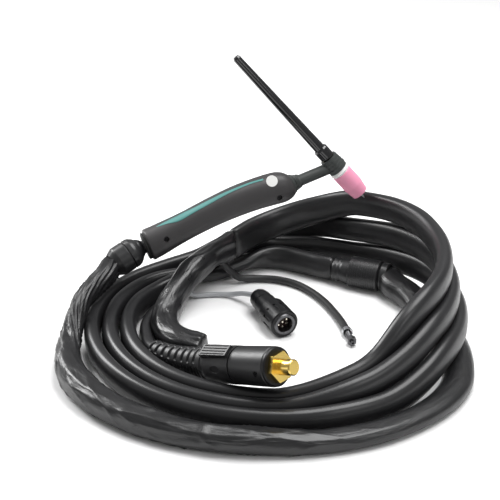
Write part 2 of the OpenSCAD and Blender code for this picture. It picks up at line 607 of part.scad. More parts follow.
// ---------- coupler ----------
cuff_face = coil_first - start_way * fit;
module in_coupler() on_floor() translate(cuff_face)
  rotate([0, 0, atan2(-start_way.y, -start_way.x)]) children();
coupler_z = coupler_d / 2 - cuff_face.z + 0.1;      // the coupler lies on the floor
line_pitch = 2.4;
module coupler_cuff() color("#2d2e31") in_coupler()
  turned_piece([[0, 0], [0, 11.2], [1.5, 12], [4, 11.4], [6, 12], [8, 11.4], [10, 12.2],
    [cuff_len, 13.4], [cuff_len, 0]]);
module hose_coupler() color("#2a2b2e") in_coupler() difference() {
  translate([0, 0, coupler_z]) turned_piece([[cuff_len + fit, 0], [cuff_len + fit, coupler_d / 2 - 1.6],
    [cuff_len + 1.6, coupler_d / 2], [cuff_len + coupler_len - 1.6, coupler_d / 2],
    [cuff_len + coupler_len, coupler_d / 2 - 1.6], [cuff_len + coupler_len, 0]]);
  for (k = [1:floor(coupler_len / line_pitch) - 2])
    translate([0, 0, coupler_z]) translate([cuff_len + 2 + k * line_pitch, 0, 0]) difference() {
      rod(0, 0.5, coupler_d);
      rod(-1, 1.5, coupler_d / 2 - 0.35);
    }
}
collar_x = cuff_len + coupler_len + fit;
module cover_collar() color("#1f2023") in_coupler() translate([0, 0, coupler_z])
  turned_piece([[collar_x, 0], [collar_x, 13.4], [collar_x + 1.2, 14.4],
    [collar_x + collar_len - 1.2, 14.4], [collar_x + collar_len, 13.4], [collar_x + collar_len, 0]]);

// ---------- leather cover ----------
// Free points of its route, each with the width of the cover there: it is pressed flat by the coil
LEATHER_ROUTE = [[-154, 15, 44, 18], [-164, 0, 39.4, 16], [-172.8, -18, 34.8, 15], [-178, -37, 23.8, 17],
  [-180.5, -58, 16, 20], [-180.5, -80, 13, 23], [-175.6, -106, 12.2, 26], [-162, -134, 12.2, 27],
  [-141, -160.5, 12, 27], [-113, -183, 11.6, 27], [-79, -201.5, 11, 26], [-41, -212.5, 10.6, 25.5],
  [2, -216.8, 10.2, 25], [48, -214, 8.4, 23.5], [92.5, -200, 8, 23.5], [128, -178, 7.9, 24],
  [154, -151, 7.9, 26], [169.5, -122, 8, 28], [174, -94, 8.6, 30], [174, -68, 8.7, 32],
  [171.5, -44, 8.7, 32], [165, -20, 8.7, 32], [159, 0, 8.9, 32], [152, 19, 10.4, 30],
  [142, 38, 12.2, 28], [130, 55, 14, 28]];
leather_start = cup_point([-socket_back - fit, 0, 0]);
leather_end = cuff_face + [0, 0, coupler_z] - start_way * (collar_x + collar_len + fit);
leather_path = concat([leather_start], [for (p = LEATHER_ROUTE) [p.x, p.y, p.z]], [leather_end]);
leather_way = turned([-1, 0, 0], 0, cup_pitch, cup_yaw);
lift = 0.2;                    // the cover's underside stays this far above the floor
function leather_height(z) = min(leather_h, 2 * (z - lift));
leather_sizes = concat([[leather_h - 2, leather_h - 2]],
  [for (p = LEATHER_ROUTE) [p[3] * leather_w / 28, leather_height(p.z)]], [[leather_h, leather_h]]);
module leather_cover() color("#1b1c1e") on_floor()
  tube(leather_path, leather_sizes, leather_way, start_way);

// ---------- end sleeve and leads ----------
plug_face = -pin_len / 2 - hex_t;            // front of the ring, on the plug's x axis
SLEEVE_ROUTE = [[-53, 68, 40.7], [-69, 46, 36], [-83.5, 24, 26], [-92.5, 2, 17], [-95, -19, 13.8],
  [-89, -41, 12.6], [-74, -57, 12.4]];
// Width and height there, as shares of the sleeve's own
SLEEVE_SHARES = [[0.82, 1], [0.88, 1], [0.93, 1], [0.97, 1], [1, 0.94], [1, 0.86], [1.04, 0.84]];
sleeve_start = coil_last + end_way * fit;
sleeve_end = [-56, -66, 13];
sleeve_path = concat([sleeve_start], SLEEVE_ROUTE, [sleeve_end]);
sleeve_sizes = [for (i = [0:len(sleeve_path) - 1]) i == 0 ? [hose_w + 2, hose_h + 8] :
  i == len(sleeve_path) - 1 ? [sleeve_w - 3, sleeve_h - 5] :
  [sleeve_w * SLEEVE_SHARES[i - 1].x, sleeve_h * SLEEVE_SHARES[i - 1].y]];
module end_sleeve() color("#202124") on_floor()
  tube(sleeve_path, sleeve_sizes, end_way, [1, -0.4, 0.1]);

POWER_ROUTE = [[-94, 26.5, 12], [-102.6, 19.5, 8], [-110.2, 4.5, 6.4], [-113.4, -16, 6.3],
  [-111.4, -37, 7], [-107.4, -59, 10.5]];
power_start = [-80, 31, 20];
boot_end = [-101, -72, 13.5];
boot_out = unit([-0.55, 0.83, -0.12]);      // the way the cable leaves the boot
power_path = concat([power_start], POWER_ROUTE, [boot_end + boot_out * fit]);
module power_cable() color("#2b2c2f") on_floor() round_tube(power_path, power_d,
  POWER_ROUTE[0] - power_start, -boot_out);

CONTROL_ROUTE = [[-75.5, 44, 16], [-74, 50, 7.5], [-67, 53.5, 3.6], [-58, 56, 2.8], [-45, 57, 2.8],
  [-32, 54, 4.5], [-22, 47, 9]];
control_start = [-74, 38, 25];
control_end = conn_point([-conn_len - fit, 0, 0]);
control_path = concat([control_start], CONTROL_ROUTE, [control_end]);
module control_cable() color("#b9bcc0") on_floor() round_tube(control_path, control_d,
  CONTROL_ROUTE[0] - control_start, turned([1, 0, 0], 0, 0, conn_yaw));

GAS_ROUTE = [[-36, 83, 18], [-25, 86, 7], [-8, 90, 3.9], [12, 88, 3.9], [32, 78, 3.9], [48, 60, 3.9],
  [60, 39, 3.9], [69, 16, 3.9], [75.5, -7, 4.6]];
gas_start = [-45, 78, 32];
gas_end = [79, -26, 4.9];
gas_way = unit([3.5, -19, 0]);
gas_path = concat([gas_start], GAS_ROUTE, [gas_end]);
module gas_hose() color("#202123") on_floor()
  round_tube(gas_path, gas_d, GAS_ROUTE[0] - gas_start, gas_way);
module in_fitting() on_floor() translate(gas_end)
  rotate([0, 0, atan2(gas_way.y, gas_way.x)]) children();
barb_r = fitting_bore / 2 + 0.9;
module gas_fitting() color("#b9b4a6") in_fitting() difference() {
  union() {
    rod(fit, fitting_len, barb_r);
    for (x = [1, 4, 7]) rod(x, x + 2.4, barb_r + 0.9, barb_r);
    rotate([0, 90, 0]) translate([0, 0, fitting_len * 0.55])
      cylinder(h = fitting_len * 0.3, r = fitting_nut_r, $fn = 6);
  }
  rod(-1, fitting_len + 1, fitting_bore / 2);
}
clamp_w = 5;
clamp_t = 0.7;
clamp_x = -0.4 - clamp_w;
clamp_r = gas_d / 2 * 1.1 + 0.1;   // over the corners of the hose's section
ear_w = 4;
module ear_clamp() color("#8f9296") in_fitting() difference() {
  union() {
    rod(clamp_x, clamp_x + clamp_w, clamp_r + clamp_t);
    translate([clamp_x, clamp_r - 0.4, 0]) rotate([0, 90, 0]) cylinder(h = clamp_w, d = ear_w);
  }
  rod(clamp_x - 1, clamp_x + clamp_w + 1, clamp_r);
  translate([clamp_x - 1, clamp_r + clamp_t, 0]) rotate([0, 90, 0])
    cylinder(h = clamp_w + 2, d = ear_w - 2 * clamp_t);
}

// ---------- power plug ----------
ring_t = 3;
core_r = hex_af / 2 - 2;
module plug_pin() color("#d8b25a") in_plug() {
  rod(plug_face + hex_t - eps, pin_len / 2 - 1, pin_d / 2);
  rod(pin_len / 2 - 1, pin_len / 2, pin_d / 2, pin_d / 2 - 1);
  translate([plug_face, 0, 0]) rotate([0, 90, 0]) rotate([0, 0, 30])
    cylinder(h = hex_t, r = hex_af / 2 / cos(30), $fn = 6);
  rod(plug_face - plug_len * 0.6, plug_face, core_r);
}
module plug_ring() color("#3a3b3e") in_plug() turned_piece([
  [plug_face - ring_t, core_r + fit], [plug_face - ring_t, plug_d / 2 - 0.4],
  [plug_face - 1, plug_d / 2 - 0.4], [plug_face - fit, plug_d / 2 - 1.4],
  [plug_face - fit, core_r + fit]]);
housing_x = plug_face - ring_t - fit;
housing_end = plug_face - plug_len;
module plug_housing() color("#232427") in_plug() difference() {
  turned_piece([[housing_end, 0], [housing_end, plug_d / 2 - 1.4], [housing_end + 1.5, plug_d / 2 - 0.6],
    [housing_x - 5, plug_d / 2], [housing_x - 0.8, plug_d / 2], [housing_x, plug_d / 2 - 0.8],
    [housing_x, 0]]);
  rod(plug_face - plug_len * 0.6 - fit, 0, core_r + fit);
  rod(housing_end - 1, plug_face, power_d / 2 + slack);
  translate([plug_face - 11, 0, 0]) rotate([90, 0, 0]) cylinder(h = plug_d, d = set_d + 2 * fit);
}
set_d = 5;
module plug_screw() color("#8d9094") in_plug() translate([plug_face - 11, 0, 0]) rotate([90, 0, 0])
  difference() {
    translate([0, 0, core_r + 2 * fit]) cylinder(h = plug_d / 2 - core_r - 2, d = set_d);
    translate([0, 0, plug_d / 2 - 4]) cylinder(h = 5, r = set_d / 4, $fn = 6);
  }
sleeve_back = housing_end - sleeve_len;
key_proud = 2.6;
key_turn = 28;             // the key lies turned toward the front
module plug_sleeve() color("#2a2b2d") in_plug() difference() {
  union() {
    turned_piece([[sleeve_back, 0], [sleeve_back, plug_d / 2 - 2.6], [sleeve_back + 5, plug_d / 2 - 1.2],
      [housing_end - 6, plug_d / 2 - 0.4], [housing_end - fit, plug_d / 2 - 0.4],
      [housing_end - fit, 0]]);
    rotate([key_turn, 0, 0]) translate([sleeve_back + 3, -key_w / 2, 0])
      cube([sleeve_len - 4, key_w, plug_d / 2 + key_proud]);
  }
  rod(sleeve_back - 1, housing_end + 1, power_d / 2 + fit);
  rotate([key_turn, 0, 0]) for (k = [0:key_grooves - 1])
    translate([sleeve_back + 4.5, (k + 0.5) * key_w / key_grooves - key_w / 2 - 0.5,
      plug_d / 2 + key_proud - 1]) cube([sleeve_len - 7, 1, 2]);
  translate([housing_end - sleeve_len * 0.45, -plug_d / 2, 2]) rotate([90, 0, 0])
    scale([1.7, 1, 1]) cylinder(h = 3, r = 3.4, center = true);
}
// The boot bends from the plug's axis to the cable; its path runs from its narrow end
boot_front = plug_point([sleeve_back - fit, 0, 0]);
plug_axis = turned([1, 0, 0], 0, plug_pitch, plug_yaw);
rib_deep = 1.9;
function boot_at(k) = let (m = 1 - k, p = boot_end - boot_out * 20, q = boot_front - plug_axis * 30)
  m * m * m * boot_end + 3 * m * m * k * p + 3 * m * k * k * q + k * k * k * boot_front;
function boot_r(k) = blend(boot_tip_d / 2, plug_d / 2 - 2, k);
BOOT_STATIONS = concat([[0, 0.8], [0.02, 0]],
  [for (k = [0:boot_ribs - 1], q = [[0.08, 0], [0.58, 0], [0.68, 1], [0.98, 1]])
    [0.04 + (k + q[0]) * 0.91 / boot_ribs, q[1] * rib_deep]], [[0.965, 0], [1, 0]]);
SIXTEEN = [for (j = [0:15]) [cos(22.5 * j), sin(22.5 * j)]];
module plug_boot() color("#222326") on_floor() tube([for (q = BOOT_STATIONS) boot_at(q[0])],
  [for (q = BOOT_STATIONS) let (d = 2 * (boot_r(q[0]) - q[1])) [d, d]], -boot_out, plug_axis, SIXTEEN);

// ---------- control connector ----------
insert_d = conn_d - 7;
recess = 8;
shell_len = 14;
module connector_body() color("#2b2c2f") in_conn() difference() {
  turned_piece([[-conn_len, 0], [-conn_len, 5.4], [-conn_len + 0.6, 6.6], [-conn_len + 2, 8.2],
    [-conn_len + 5, 9.6], [-conn_len + 10, 10.3], [-conn_len + 18, conn_d / 2 - 0.4], [-conn_len + 18, 9.8],
    [-conn_len + 19.2, 9.8], [-conn_len + 19.2, conn_d / 2], [-shell_len - fit, conn_d / 2],
    [-shell_len - fit, 0]]);
  rod(-conn_len + 20, 0, insert_d / 2 + fit);
  rod(-conn_len - 1, 0, control_d / 2 + fit);
}
// The metal shell at the mouth, which the coupling ring turns on
module connector_shell() color("#a9abae") in_conn() turned_piece([
  [-shell_len, insert_d / 2 + fit], [-shell_len, conn_d / 2], [0, conn_d / 2],
  [1.2, conn_d / 2 - 0.8], [1.2, insert_d / 2 + 0.5], [0.8, insert_d / 2 + fit]]);
module connector_ring() color("#313236") in_conn() difference() {
  turned_piece([[-ring_len, conn_d / 2 + fit], [-ring_len, ring_d / 2 - 1.2],
    [-ring_len + 1.2, ring_d / 2], [-1, ring_d / 2], [0, ring_d / 2 - 1], [0, conn_d / 2 + fit]]);
  for (k = [0:grip_slots - 1]) rotate([360 * (k + 0.5) / grip_slots, 0, 0])
    translate([-ring_len * 0.62, -1.3, ring_d / 2 - 1]) cube([ring_len * 0.42, 2.6, 2]);
}
module connector_insert() color("#3a3c40") in_conn() difference() {
  rod(-recess - 10, -recess, insert_d / 2);
  at_pins() translate([0, 0, -11]) cylinder(h = 12, d = conn_pin_d + 0.1);
}
module at_pins() translate([-recess, 0, 0]) rotate([0, 90, 0]) {
  children();
  for (k = [0:conn_pins - 1]) rotate([0, 0, 360 * k / conn_pins])
    translate([insert_d * 0.32, 0, 0]) children();
}
module connector_pins() color("#c9b27a") in_conn() at_pins()
  translate([0, 0, -9.5]) cylinder(h = 12.5, d = conn_pin_d);

back_cap();
cap_oring();
head_core();
head_cover();
cup_gasket();
collet_body();
collet();
electrode();
nozzle();
neck_tube();
neck_boot();
tube_union();
inner_lead();
handle_near();
handle_far();
grip_inlays();
handle_screws();
badge_disc();
trigger_button();
micro_switch();
rear_ring();
swivel_ball();
socket_front();
socket_rear();
leather_cover();
cover_collar();
hose_coupler();
coupler_cuff();
hose_coil();
end_sleeve();
power_cable();
plug_boot();
plug_sleeve();
plug_housing();
plug_ring();
plug_pin();
plug_screw();
control_cable();
connector_body();
connector_shell();
connector_ring();
connector_insert();
connector_pins();
gas_hose();
gas_fitting();
ear_clamp();
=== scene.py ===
import json
import math

import bpy
import numpy as np
from mathutils import Matrix, Vector, noise

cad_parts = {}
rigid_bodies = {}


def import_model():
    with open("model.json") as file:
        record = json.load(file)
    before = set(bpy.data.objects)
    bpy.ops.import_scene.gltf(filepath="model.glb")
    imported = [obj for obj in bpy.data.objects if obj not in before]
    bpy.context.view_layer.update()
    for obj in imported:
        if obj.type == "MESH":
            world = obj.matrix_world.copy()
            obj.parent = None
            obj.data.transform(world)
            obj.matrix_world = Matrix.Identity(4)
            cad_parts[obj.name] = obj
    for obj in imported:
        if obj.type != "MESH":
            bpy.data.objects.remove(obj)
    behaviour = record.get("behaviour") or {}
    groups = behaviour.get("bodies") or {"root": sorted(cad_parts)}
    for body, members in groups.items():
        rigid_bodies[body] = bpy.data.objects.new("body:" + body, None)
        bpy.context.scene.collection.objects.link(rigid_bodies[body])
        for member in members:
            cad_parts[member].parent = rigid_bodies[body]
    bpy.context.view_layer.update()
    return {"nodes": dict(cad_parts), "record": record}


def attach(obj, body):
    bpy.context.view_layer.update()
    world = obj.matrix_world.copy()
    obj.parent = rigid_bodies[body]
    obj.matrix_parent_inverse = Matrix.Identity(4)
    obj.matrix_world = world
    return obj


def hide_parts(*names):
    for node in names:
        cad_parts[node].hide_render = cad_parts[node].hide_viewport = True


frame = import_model()
nodes = frame["nodes"]

# The middle of the contact pin, in millimetres from the layout's corner on the floor
PIN = np.array([18.0, -177.1, 57.3])
FLOOR_Z = -0.0574    # metres in the shared frame
FIT = 0.1            # millimetres between pieces that seat on each other


def at(points):
    """Layout millimetres to metres in the shared frame."""
    return (np.asarray(points, float) - PIN) / 1000


# ---------- camera ----------
CAMERA_SPOT, CAMERA_DROP = [-14, -1183.9, 657.6], 26    # millimetres, degrees below level
FOCAL_PX, PICTURE_PX, SENSOR_MM = 1395, 500, 36

cam_data = bpy.data.cameras.new("camera")
cam = bpy.data.objects.new("camera", cam_data)
bpy.context.scene.collection.objects.link(cam)
cam.location = Vector(at(CAMERA_SPOT))
cam.rotation_euler = (math.radians(90 - CAMERA_DROP), 0, 0)
cam_data.lens = FOCAL_PX * SENSOR_MM / PICTURE_PX
cam_data.sensor_width = SENSOR_MM
cam_data.clip_start, cam_data.clip_end = 0.05, 60
bpy.context.scene.camera = cam


# ---------- where the groups stand ----------
def rot(axis, degrees):
    return np.array(Matrix.Rotation(math.radians(degrees), 3, axis))


def turned(roll, pitch, yaw):
    return rot("Z", yaw) @ rot("Y", -pitch) @ rot("X", roll)


def placed(spot, turn):
    """4x4 from a part's own millimetres to metres in the shared frame."""
    m = np.eye(4)
    m[:3, :3] = turned(*turn) / 1000
    m[:3, 3] = at(spot)
    return m


def put(m, points):
    return np.asarray(points, float) @ m[:3, :3].T + m[:3, 3]


def in_layout(m, points):
    """A part's own millimetres to layout millimetres."""
    return put(m, points) * 1000 + PIN


CUP_TURN, PLUG_TURN, CONN_TURN = (0, 22, 30), (0, 19.6, -41.8), (0, 0, -66)
TORCH = placed([-115, 50, 63.5], (-12.5, 16.9, 17.5))
CUP = placed(in_layout(TORCH, [-14, 0, -2.5]), CUP_TURN)    # at the centre of the swivel's ball
PLUG = placed(PIN, PLUG_TURN)
CONN = placed([19, -25.5, 14.1], CONN_TURN)


# ---------- meshes ----------
def make(name, verts, faces, body, run=None):
    """A smooth piece riding on body; run holds each vertex's place along a tube, for its skin."""
    mesh = bpy.data.meshes.new(name)
    mesh.from_pydata([tuple(v) for v in verts], [], faces)
    mesh.validate()
    mesh.polygons.foreach_set("use_smooth", [True] * len(mesh.polygons))
    if run is not None:
        a = mesh.attributes.new("run", "FLOAT_VECTOR", "POINT")
        a.data.foreach_set("vector", np.asarray(run, np.float32).ravel())
    obj = bpy.data.objects.new(name, mesh)
    bpy.context.scene.collection.objects.link(obj)
    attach(obj, body)
    return obj


def ramp(x, start, length):
    """0 up to start, then a smooth rise to 1 over length; with a negative length it falls to 0."""
    x = np.clip((x - start) / length, 0, 1)
    return x * x * (3 - 2 * x)


def steps_of(path):
    return np.linalg.norm(np.diff(path, axis=0), axis=1)


def length_of(path):
    return float(steps_of(path).sum())


def run_of(steps):
    return np.concatenate([[0], np.cumsum(steps)])


def between(t, t0, t1, v0, v1):
    return (t1 - t) / (t1 - t0) * v0 + (t - t0) / (t1 - t0) * v1


def resample(rows, step):
    """Catmull-Rom through rows whose first three numbers are a place, one sample each step."""
    rows = np.asarray(rows, float)
    ext = np.vstack([2 * rows[0] - rows[1], rows, 2 * rows[-1] - rows[-2]])
    knots = run_of(np.sqrt(steps_of(ext[:, :3])))
    fine = []
    for i in range(1, len(ext) - 2):
        t = np.linspace(knots[i], knots[i + 1], 24, endpoint=False)[:, None]
        p, k = ext[i - 1:i + 3], knots[i - 1:i + 3]
        a = [between(t, k[j], k[j + 1], p[j], p[j + 1]) for j in range(3)]
        b = [between(t, k[j], k[j + 2], a[j], a[j + 1]) for j in range(2)]
        fine.append(between(t, k[1], k[2], b[0], b[1]))
    fine = np.vstack(fine + [rows[-1:]])
    run = run_of(steps_of(fine[:, :3]))
    n = max(2, int(round(run[-1] / step)))
    grid = np.linspace(0, run[-1], n + 1)
    return np.column_stack([np.interp(grid, run, fine[:, c]) for c in range(fine.shape[1])])


def headings(path, first=None, last=None):
    t = np.gradient(path, axis=0)
    if first is not None:
        t[0] = first
    if last is not None:
        t[-1] = last
    return t / np.linalg.norm(t, axis=1, keepdims=True)


def oval(n, power):
    """n corners of a rounded section of half sizes 1 and 1, and their angles."""
    a = np.linspace(0, 2 * math.pi, n, endpoint=False)
    c, s = np.cos(a), np.sin(a)
    corners = [np.sign(v) * abs(v) ** (2 / power) for v in (c, s)]
    return np.column_stack(corners), a


def sweep(name, path, width, height, sides, power, first=None, last=None, lean=0.0, relief=None,
          rounding=0.0012, low=None):
    """A tube along path: width and height in metres, relief(s, angle) moves the skin outward."""
    n = len(path)
    t = headings(path, first, last)
    side = np.cross([0, 0, 1], t)
    side = -side / np.linalg.norm(side, axis=1, keepdims=True)
    up = np.cross(side, t)
    up *= np.sign(up[:, 2:3])
    width, height, lean = (np.broadcast_to(np.asarray(v, float), n) for v in (width, height, lean))
    shape, angle = oval(sides, power)
    s = run_of(steps_of(path))
    x, z = shape[None, :, 0] * width[:, None] / 2, shape[None, :, 1] * height[:, None] / 2
    if relief is not None:
        d = relief(s[:, None] + 0 * x, angle[None, :] + 0 * x)
        k = 1 + d / np.hypot(x, z)
        x, z = x * k, z * k
    # Both ends are rounded over
    to_end = np.clip(np.minimum(s, s[-1] - s) / rounding, 0, 1)
    inset = rounding * (1 - np.sqrt(np.clip(1 - (1 - to_end) ** 2, 0, 1)))
    k = 1 - inset[:, None] / np.maximum(np.hypot(x, z), 1e-4)
    x, z = x * k, z * k
    c, w = np.cos(np.radians(lean))[:, None], np.sin(np.radians(lean))[:, None]
    out, rise = (x * c - z * w)[..., None], (x * w + z * c)[..., None]
    points = path[:, None, :] + side[:, None, :] * out + up[:, None, :] * rise
    if low is not None:
        points[..., 2] = np.maximum(points[..., 2], low)
    run = np.stack([s[:, None] + 0 * x, x, z], axis=-1)
    faces = []
    for i in range(0, (n - 1) * sides, sides):
        for j in range(sides):
            k = (j + 1) % sides
            faces.append((i + j, i + k, i + sides + k, i + sides + j))
    faces.append(tuple(range(sides - 1, -1, -1)))
    faces.append(tuple((n - 1) * sides + j for j in range(sides)))
    verts = points.reshape(-1, 3)
    # Faces look outward whichever way the section runs
    p = verts[[0, 1, sides]]
    if np.dot(np.cross(p[1] - p[0], p[2] - p[0]), verts[0] - path[0]) < 0:
        faces = [f[::-1] for f in faces]
    return make(name, verts, faces, "hose_package", run=run.reshape(-1, 3))


def ripple(s, a, scale, seed, twist=0.0, around=1.0):
    """Seeded smooth noise over a tube's skin: scale is features per metre along it."""
    out = np.zeros(s.shape)
    for i in np.ndindex(s.shape):
        th = a[i] + twist * s[i]
        spot = (s[i] * scale, math.cos(th) * around, math.sin(th) * around + seed)
        out[i] = noise.noise(Vector(spot))
    return out


# ---------- the coil of hose ----------
# Millimetres, and coil angles in degrees
HOSE_W, HOSE_H, COIL_R = 15.5, 25.0, 173.0
SIDE, STACK, PASS = HOSE_W + 1.4, HOSE_H + 1.3, 18.0    # steps beside, upon and over a neighbour
CENTRE = np.array([9.5, -20.5, 0.0])
TURN, START, END, LOOPS = 360, 67.5, 104.4, 3
LOOP_FROM, BACK_END = 60, 180       # a loop counts from the first, its back ends at the second
PLACES = (1, 0, 2)                  # of each loop in the stack
FIRST_STATION, STATION_STEP, FIRST_BACK = 45, 15, 2
# Stations across the back: distance from the centre, height and lean
BACK = [
    [[131.3, 14, 0], [141.5, 12.8, 0], [133.5, 11.5, 75], [131.9, 8.6, 90], [135.8, 12.2, 30],
     [146.7, 12.8, 0], [153.6, 12.7, 0]],
    [[181.3, 33, 0], [183.5, 18, 0], [176.5, 12.8, 0], [155.4, 12.8, 0], [155.3, 12.8, 0],
     [163.7, 12.7, 0], [170.6, 12.7, 0]],
    [[168.3, 13.5, 0], [164.5, 14, 0], [157.5, 26, 20], [132.9, 28, 80], [116.8, 20.5, 15],
     [129.2, 13, 0], [136.8, 12.7, 0]],
    [[167.3, 57, 0], [155.5, 44.5, 0], [129.5, 41, 0], [102.4, 38, 0]]]
LAST_BACK = FIRST_BACK + len(BACK[0]) - 1
FIRST_ROW = np.array([123.5, 15.5, 0.0])
# Ramps round the sides: the angle where each starts and how far it runs
FAN_FROM, UPPER_FAN = 270, (297, 40)
OVER_LEATHER, OFF_LEATHER = (300, 34), (382, 50)
DRAWN_IN, SLITS = (345, 55), (375, 45)


def fan(step, a):
    """Degrees by which a loop has come over the one under it."""
    f = 0 if a < FAN_FROM else 90 * math.sin(math.radians(a - FAN_FROM) / 2)
    return f if step == 1 else f * ramp(a, *UPPER_FAN)


def side_station(place, a):
    fans = [fan(k, a) for k in range(1, place + 1)]
    rise = sum((STACK - SIDE) * ramp(f, 0, 30) + SIDE * math.sin(math.radians(f)) for f in fans)
    over = PASS * ramp(a, *OVER_LEATHER) * (1 - ramp(a, *OFF_LEATHER))
    drawn_in = 4 * ramp(a, *DRAWN_IN)
    slit = (0, 1.5, 6)[place] * ramp(a, *SLITS)
    inward = sum(SIDE * math.cos(math.radians(f)) for f in fans)
    return np.array([COIL_R - drawn_in - inward, HOSE_H / 2 + over + rise + slit, 0])


def station(loop, j):
    a = FIRST_STATION + STATION_STEP * j
    if j < FIRST_BACK:
        return FIRST_ROW if loop == 0 else side_station(PLACES[loop - 1], TURN + a)
    if j <= LAST_BACK:
        back = BACK[min(loop, LOOPS)]
        return np.array(back[min(j - FIRST_BACK, len(back) - 1)], float)
    return side_station(PLACES[loop], a)


def curve(p, q, r, s, k):
    """Catmull-Rom between q and r at the share k."""
    return 0.5 * (2 * q + (r - p) * k + (2 * p - 5 * q + 4 * r - s) * k * k
                  + (3 * q - p - 3 * r + s) * k ** 3)


def coil_row(a):
    """Layout place and lean of the hose at coil angle a."""
    loop = math.floor((a - LOOP_FROM) / TURN)
    b = a - TURN * loop
    if b < BACK_END:
        f = (b - FIRST_STATION) / STATION_STEP
        j = min(LAST_BACK, max(1, math.floor(f)))
        v = curve(*(station(loop, j + k) for k in (-1, 0, 1, 2)), f - j)
    else:
        v = side_station(PLACES[loop], b)
    w = math.radians(a)
    return np.array([*(CENTRE + [v[0] * math.cos(w), v[0] * math.sin(w), v[1]]), v[2]])


coil_end = TURN * LOOPS + END
angles = np.linspace(START, coil_end, 470)
rows = np.array([coil_row(a) for a in angles])
start_way = np.array([-math.sin(math.radians(START)), math.cos(math.radians(START)), 0])
end_way = rows[-1, :3] - coil_row(coil_end - 2)[:3]
end_way /= np.linalg.norm(end_way)
# A straight run at each end
run_in = [np.array([*(rows[0, :3] - start_way * d), 0]) for d in (HOSE_W, 11, 6)]
run_off = [np.array([*(rows[-1, :3] + end_way * d), 0]) for d in (5, 10, HOSE_W)]
rows = np.vstack([run_in, rows, run_off])
angles = np.concatenate([[START] * 3, angles, [coil_end] * 3])
coil_path = at(rows[:, :3])
# The loops lean on each other at the right and press together there
past_front = (angles - FAN_FROM) % TURN
press = ramp(past_front, 0, 30) * (1 - ramp(past_front, 120, 30))
coil_width = HOSE_W + 1.3 * press
SLEEVE_STEP = 8    # the last loop grows by this toward the end sleeve
coil_height = HOSE_H + 2.2 * press + SLEEVE_STEP * ramp(angles, coil_end - 60, 50)


def hose_relief(s, a):
    return (0.00028 * ripple(s, a, scale=9, seed=3.1)
            + 0.0003 * ripple(s, a, scale=28, seed=8.4, around=0.6))


hose = sweep("hose", coil_path, coil_width / 1000, coil_height / 1000, 30, 2.35,
             start_way, end_way, lean=rows[:, 3], relief=hose_relief)

# ---------- leather cover ----------
CUFF_LEN, COUPLER_LEN, COUPLER_D, COLLAR_LEN, SOCKET_BACK = 17, 33, 31, 8, 26
LEATHER_H, LEATHER_LIFT = 24, 0.2
# Its route, each point with the cover's width there
LEATHER = [
    [-154, 15, 44, 18], [-164, 0, 39.4, 16], [-172.8, -18, 34.8, 15], [-178, -37, 23.8, 17],
    [-180.5, -58, 16, 20], [-180.5, -80, 13, 23], [-175.6, -106, 12.2, 26],
    [-162, -134, 12.2, 27], [-141, -160.5, 12, 27], [-113, -183, 11.6, 27],
    [-79, -201.5, 11, 26], [-41, -212.5, 10.6, 25.5], [2, -216.8, 10.2, 25],
    [48, -214, 8.4, 23.5], [92.5, -200, 8, 23.5], [128, -178, 7.9, 24], [154, -151, 7.9, 26],
    [169.5, -122, 8, 28], [174, -94, 8.6, 30], [174, -68, 8.7, 32], [171.5, -44, 8.7, 32],
    [165, -20, 8.7, 32], [159, 0, 8.9, 32], [152, 19, 10.4, 30], [142, 38, 12.2, 28],
    [130, 55, 14, 28]]
leather_start = in_layout(CUP, [-SOCKET_BACK - FIT, 0, 0])
cuff_face = rows[0, :3] - start_way * FIT
coupler_z = COUPLER_D / 2 - cuff_face[2] + FIT    # the coupler lies on the floor
fittings_len = CUFF_LEN + COUPLER_LEN + FIT + COLLAR_LEN + FIT
leather_end = cuff_face + [0, 0, coupler_z] - start_way * fittings_len
leather_route = [[*p, min(LEATHER_H, 2 * (p[2] - LEATHER_LIFT))] for p in LEATHER]
leather_rows = resample([[*leather_start, LEATHER_H - 2, LEATHER_H - 2], *leather_route,
                         [*leather_end, LEATHER_H, LEATHER_H]], 2.6)
leather_path = at(leather_rows[:, :3])


def creased(s, a, depth, **noise_settings):
    """1 along drawn lines, falling off beside them."""
    return 1 - depth * abs(ripple(s, a, **noise_settings))


def leather_relief(s, a):
    """Twisted folds behind the swivel, long creases round the left bend, calm along the front."""
    torch_end = 1 - ramp(s, 0.09, 0.06)
    bend = ramp(s, 0.07, 0.05) * (1 - ramp(s, 0.34, 0.2))
    pleat = creased(s, a, 3, scale=9, seed=1.7, twist=-24, around=3.2)
    crease = creased(s, a, 2.4, scale=11, seed=5.2, twist=-7, around=1.6)
    ridge = np.clip(creased(s, a, 13, scale=15, seed=3.9, twist=14), 0, 1)
    lumps = ripple(s, a, scale=13, seed=9.9, around=0.9)
    return (0.0024 * torch_end * (pleat - 0.7) + bend * (0.0008 * (crease - 0.6) + 0.0011 * ridge)
            + 0.0006 * lumps)


leather = sweep("leather", leather_path, leather_rows[:, 3] / 1000, leather_rows[:, 4] / 1000,
                56, 2.5, -turned(*CUP_TURN)[:, 0], start_way,
                relief=leather_relief, low=FLOOR_Z + 0.0003)

# ---------- end sleeve ----------
SLEEVE_W, SLEEVE_H = 26, 28
